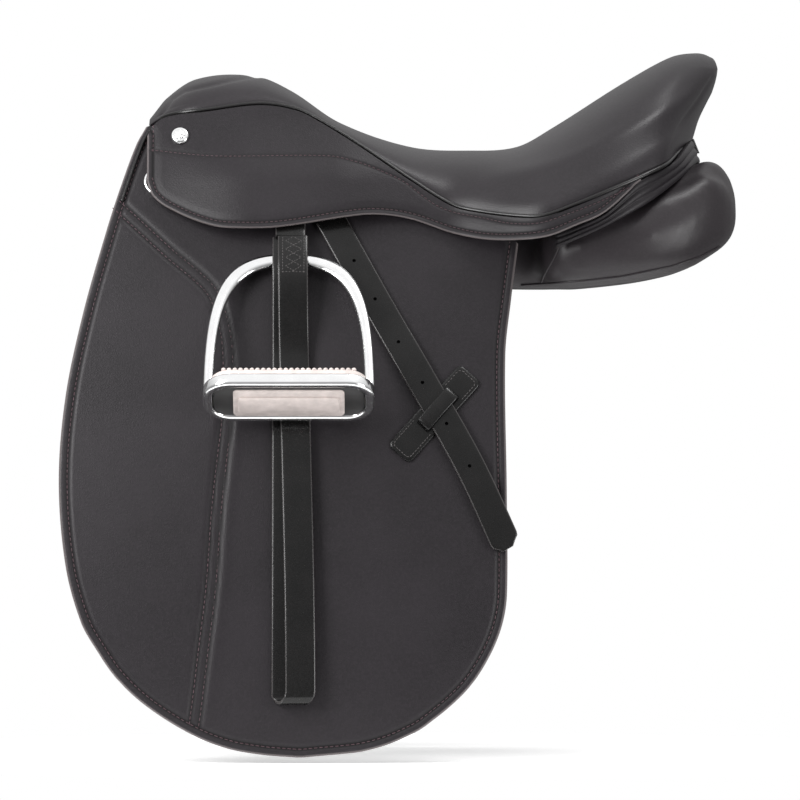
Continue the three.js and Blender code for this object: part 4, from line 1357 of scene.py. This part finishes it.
def iron_frame(side):
    """Origin and axes of the iron's own plane: across, up along the iron, and out through it."""
    lean = math.asin((IRON_TOP_Z - BARREL_Z) / BARREL_RADIUS) + math.radians(IRON_REST_ANGLE)
    turn = math.pi / 2 + side * lean
    origin = on_barrel(side, IRON_X, IRON_TOP_Z, 0.6 + IRON_DEPTH / 2)
    return origin, np.array([
        (1, 0, 0),
        (0, math.cos(turn), math.sin(turn)),
        (0, -math.sin(turn), math.cos(turn)),
    ])


def bezier(a, b, c, d):
    """60 points along a cubic curve."""
    t = np.linspace(0, 1, 60)[:, None]
    a, b, c, d = (np.array(p, float) for p in (a, b, c, d))
    return a * (1 - t) ** 3 + 3 * b * t * (1 - t) ** 2 + 3 * c * t * t * (1 - t) + d * t ** 3


def iron_edges():
    """The arch's outer and inner edges, from one foot over the shoulders to the other foot."""
    half = IRON_WIDTH / 2
    foot = IRON_FOOT - 4
    outer = bezier((-half, foot), (-half, -62), (-half + 11, -20), (-16, -14))
    inner_half = half - IRON_BAR
    inner = bezier((-inner_half, foot), (-inner_half, -68), (-half + 20, -30), (-10, -25))
    top = np.linspace(0, 1, 12)[1:-1, None]
    return [
        np.concatenate([leg, lerp(leg[-1], leg[-1] * (-1, 1), top), leg[::-1] * (-1, 1)])
        for leg in (outer, inner)
    ]


def iron_arch():
    """The two legs and the crown, as one bar that thickens to its shoulders."""
    outer, inner = (np.append(edge, np.zeros((len(edge), 1)), 1) for edge in iron_edges())
    angles = turns(20)[:, None]
    wide = np.sign(np.cos(angles)) * np.abs(np.cos(angles)) ** 0.75
    deep = IRON_DEPTH / 2 * np.sin(angles) * np.array([0, 0, 1])
    rings = (outer + inner)[:, None] / 2 + wide * (outer - inner)[:, None] / 2 + deep
    return tube("iron_arch", rings, CHROME)


def iron_eye():
    """The frame over the crown that the leather hangs in."""
    half, foot, head = 13.3, -15, -2.5
    corners = np.array([(-half, foot, 0), (-half, head, 0), (half, head, 0), (half, foot, 0)], float)
    centres = resampled(corners, 1.5)
    out = np.tile([0.0, 0, 1], (len(centres), 1))
    section = round_profile(2.6, IRON_DEPTH - 0.4, 1.1)
    return swept("iron_eye", centres, np.cross(tangents(centres), out), out, section, CHROME)


def iron_ring():
    """The flat ring that holds the tread."""
    bar = 8
    path = round_profile(IRON_WIDTH - bar, TREAD_DEPTH - bar, 19, 12)
    centres = np.insert(path, 1, IRON_FOOT + 0.5 - TREAD_HEIGHT / 2, 1)
    along = unit(np.roll(centres, -1, 0) - np.roll(centres, 1, 0))
    up = np.tile([0.0, 1, 0], (len(centres), 1))
    section = round_profile(bar, TREAD_HEIGHT, 2.6, 4)
    return swept("iron_ring", centres, np.cross(along, up), up, section, CHROME, closed=True)


def build_iron(side, name):
    iron = join(f"stirrup_iron_{name}_chrome", [iron_arch(), iron_eye(), iron_ring()])
    iron.data.transform(matrix_of(*iron_frame(side)))
    place(iron, f"stirrup_{name}", "chrome", f"stirrup_iron_{name}")


def matrix_of(origin, axes):
    """The matrix, in metres, that carries a piece from a plane of its own into the frame."""
    return Matrix.Translation(Vector(origin) * MM) @ Matrix(axes.T.tolist()).to_4x4()


def tread_layer(width, depth, radius, low, high, material=TREAD_RUBBER, bevel=0.8):
    """A rounded plate of the tread, between two levels from the ring's top."""
    stack = []
    for inset, level in ((bevel, low), (0, low + bevel), (0, high - bevel), (bevel, high)):
        outline = round_profile(width - 2 * inset, depth - 2 * inset, radius - inset, 8)
        stack.append(np.insert(outline, 1, IRON_FOOT + level, 1))
    return tube("tread_layer", np.array(stack), material)


def build_tread(side, name):
    """A ribbed rubber pad in the ring, with three rows of teeth, and stepped plates underneath."""
    origin, axes = iron_frame(side)
    pieces = [
        # Painted shade: a near-black plate that stands in for the shade inside the ring.
        tread_layer(125, 44, 15, -9, -1, RING_SHADE_RUBBER),
        tread_layer(130, 49, 17, 0.8, TREAD_PROUD - 3),
        tread_layer(122, 42, 14, -1.5, 1.2),
        tread_layer(92, 38, 4, -11.5, -8.8),
        tread_layer(84, 22, 3, -14, -11.2),
    ]
    for row in (-1, 0, 1):
        pitch = 4.68 if row else 4.992
        for k in range(TREAD_TEETH):
            tooth = tread_layer(3.8, 6, 1.6, TREAD_PROUD - 3.3, TREAD_PROUD, bevel=1.2)
            spot = np.array([(k - (TREAD_TEETH - 1) / 2) * pitch, 0, row * 20.5])
            tooth.data.transform(matrix_of(spot, np.eye(3)))
            pieces.append(tooth)
    tread = join(f"tread_{name}_rubber", pieces)
    tread.data.transform(matrix_of(origin, axes))
    face_outward(tread)
    place(tread, f"stirrup_{name}", "tread_rubber", f"tread_{name}")


# ---------------------------------------------------------------- small fittings


def fitting_place(side, x, z, lift):
    """A fitting's centre, the way it faces, and the two directions of its plane."""
    normal = barrel_normal(side, z)
    return on_barrel(side, x, z, lift), normal, np.array([(1, 0, 0), np.cross(normal, (1, 0, 0))])


def build_nailheads():
    """A domed chrome nail with a plain fluted boss."""
    radii = np.array([0, 1.2, 2.2, 3.4, 4.4, 5.2, 6.2, 7.2, 7.6, 7.3, 6.2, 0])
    heights = np.array([4.3, 4.2, 3.9, 3.5, 3.1, 3.35, 3.2, 2.3, 1.0, 0.2, -0.8, -1])
    for side, name in SIDES:
        centre, normal, plane = fitting_place(side, NAILHEAD_X, NAILHEAD_Z, 8.4)
        rings = []
        for radius, height in zip(radii, heights):
            flute = 0.25 * np.cos(8 * turns(48)) * (1 < radius < 4.3) * (height > 3)
            flat = centre + circle(max(radius, 0.05), 48) @ plane
            rings.append(flat + (height + flute)[:, None] * normal)
        nail = tube(f"nailhead_{name}_chrome", np.array(rings), CHROME)
        place(nail, "saddle", "chrome", f"nailhead_{name}")


def build_dee_rings():
    for side, name in SIDES:
        centre, normal, plane = fitting_place(side, DEE_X, DEE_Z, 2.1)
        radial = circle(1, 48) @ plane
        points = centre + DEE_RADIUS * radial
        outward = np.tile(normal, (len(points), 1))
        section = circle(1.7, 10)
        ring = swept(f"dee_ring_{name}_chrome", points, radial, outward, section, CHROME, closed=True)
        place(ring, f"dee_ring_{name}", "chrome", f"dee_ring_{name}")


def dress_cad_nodes():
    """Gives the CAD parts that stay their materials."""
    finishes = {
        "tree": WOOD, "gullet_plate": STEEL, "tree_point": WOOD,
        "stirrup_bar": STEEL, "bar_catch": STEEL, "buckle": STEEL, "dee_chape": FLAP_LEATHER,
    }
    for node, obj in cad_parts.items():
        kind = node.removesuffix("_left").removesuffix("_right")
        if kind in finishes:
            for slot in obj.material_slots:
                slot.material = finishes[kind]


# ---------------------------------------------------------------- studio


def build_floor(level):
    """A pale disc under the saddle."""
    rim = np.insert(circle(520, 64), 2, level, 1)
    nodes = Nodes("floor", 1.0, Emission_Color=(1, 1, 1, 1), Emission_Strength=0.45)
    tone = nodes.ranged(nodes.noise(3, 2), 0.3, 0.7, 0, 1)
    nodes.drive("Base Color", nodes.blend(tone, (0.95, 0.95, 0.95), (0.97, 0.97, 0.97)))
    floor = new_object("floor", rim, [list(range(64))], nodes.material, False)


def soft_box(name, position, target, size, power):
    light = bpy.data.lights.new(name, "AREA")
    light.shape = "RECTANGLE"
    light.size, light.size_y = size
    light.energy = power
    lamp = bpy.data.objects.new(name, light)
    lamp.location = position
    lamp.rotation_euler = (Vector(target) - Vector(position)).to_track_quat("-Z", "Y").to_euler()
    bpy.context.scene.collection.objects.link(lamp)


def build_studio():
    """Soft lights in white surroundings, which light the saddle less from below than from above."""
    world = bpy.data.worlds.new("studio")
    bpy.context.scene.world = world
    world.use_nodes = True
    nodes = world.node_tree.nodes
    link = world.node_tree.links.new
    shown = nodes["Background"]
    shown.inputs["Color"].default_value = (1, 1, 1, 1)
    shown.inputs["Strength"].default_value = 1.0
    lit = nodes.new("ShaderNodeBackground")
    split = nodes.new("ShaderNodeSeparateXYZ")
    link(nodes.new("ShaderNodeTexCoord").outputs["Generated"], split.inputs["Vector"])
    height = nodes.new("ShaderNodeMapRange")
    for socket, number in zip(height.inputs[1:5], (0.05, 0.75, 0.07, 0.95)):
        socket.default_value = number
    link(split.outputs["Z"], height.inputs["Value"])
    rays = nodes.new("ShaderNodeLightPath")
    mirrored = nodes.new("ShaderNodeMath")
    mirrored.operation = "MULTIPLY_ADD"
    mirrored.inputs[1].default_value = 0.3
    link(rays.outputs["Is Glossy Ray"], mirrored.inputs[0])
    link(height.outputs["Result"], mirrored.inputs[2])
    link(mirrored.outputs["Value"], lit.inputs["Strength"])
    mix = nodes.new("ShaderNodeMixShader")
    link(rays.outputs["Is Camera Ray"], mix.inputs["Fac"])
    link(lit.outputs["Background"], mix.inputs[1])
    link(shown.outputs["Background"], mix.inputs[2])
    link(mix.outputs["Shader"], nodes["World Output"].inputs["Surface"])
    soft_box("key", (-0.7, -0.75, 0.25), (-0.25, 0, -0.1), (0.4, 0.8), 13)
    soft_box("top", (0.5, -0.45, 1.3), (0.2, 0, 0.12), (0.6, 0.5), 10)
    soft_box("fill", (1.1, -1.0, -0.2), (0.24, 0, 0.06), (0.6, 0.6), 12)
    bpy.context.scene.view_settings.view_transform = "Standard"


def build_camera():
    """Level with the saddle on its near side, from far enough away to look almost parallel."""
    width = 0.668            # metres across the picture at the saddle's near side
    near_side = -0.12
    distance = 8.0
    camera = bpy.data.cameras.new("camera")
    camera.sensor_width = 36
    camera.lens = camera.sensor_width * distance / width
    camera.clip_end = 100
    eye = bpy.data.objects.new("camera", camera)
    eye.location = (-0.0017, near_side - distance, -0.0902)
    eye.rotation_euler = (math.pi / 2, 0, 0)
    bpy.context.scene.collection.objects.link(eye)
    bpy.context.scene.camera = eye


# ---------------------------------------------------------------- the saddle

build_camera()
build_studio()
build_floor(FLOOR_Z)
build_seat()
build_webbing()
build_lining()
build_underside()
build_welt()
build_cantle_tab()
build_flaps()
build_front_welts()
build_skirts()
build_panels()
build_front_padding()
build_sweat_flaps()
build_pommel_facing()
build_cantle_band()
build_leathers()
build_tails()
build_keepers()
build_billets()
for side, name in SIDES:
    build_iron(side, name)
    build_tread(side, name)
build_nailheads()
build_dee_rings()
dress_cad_nodes()
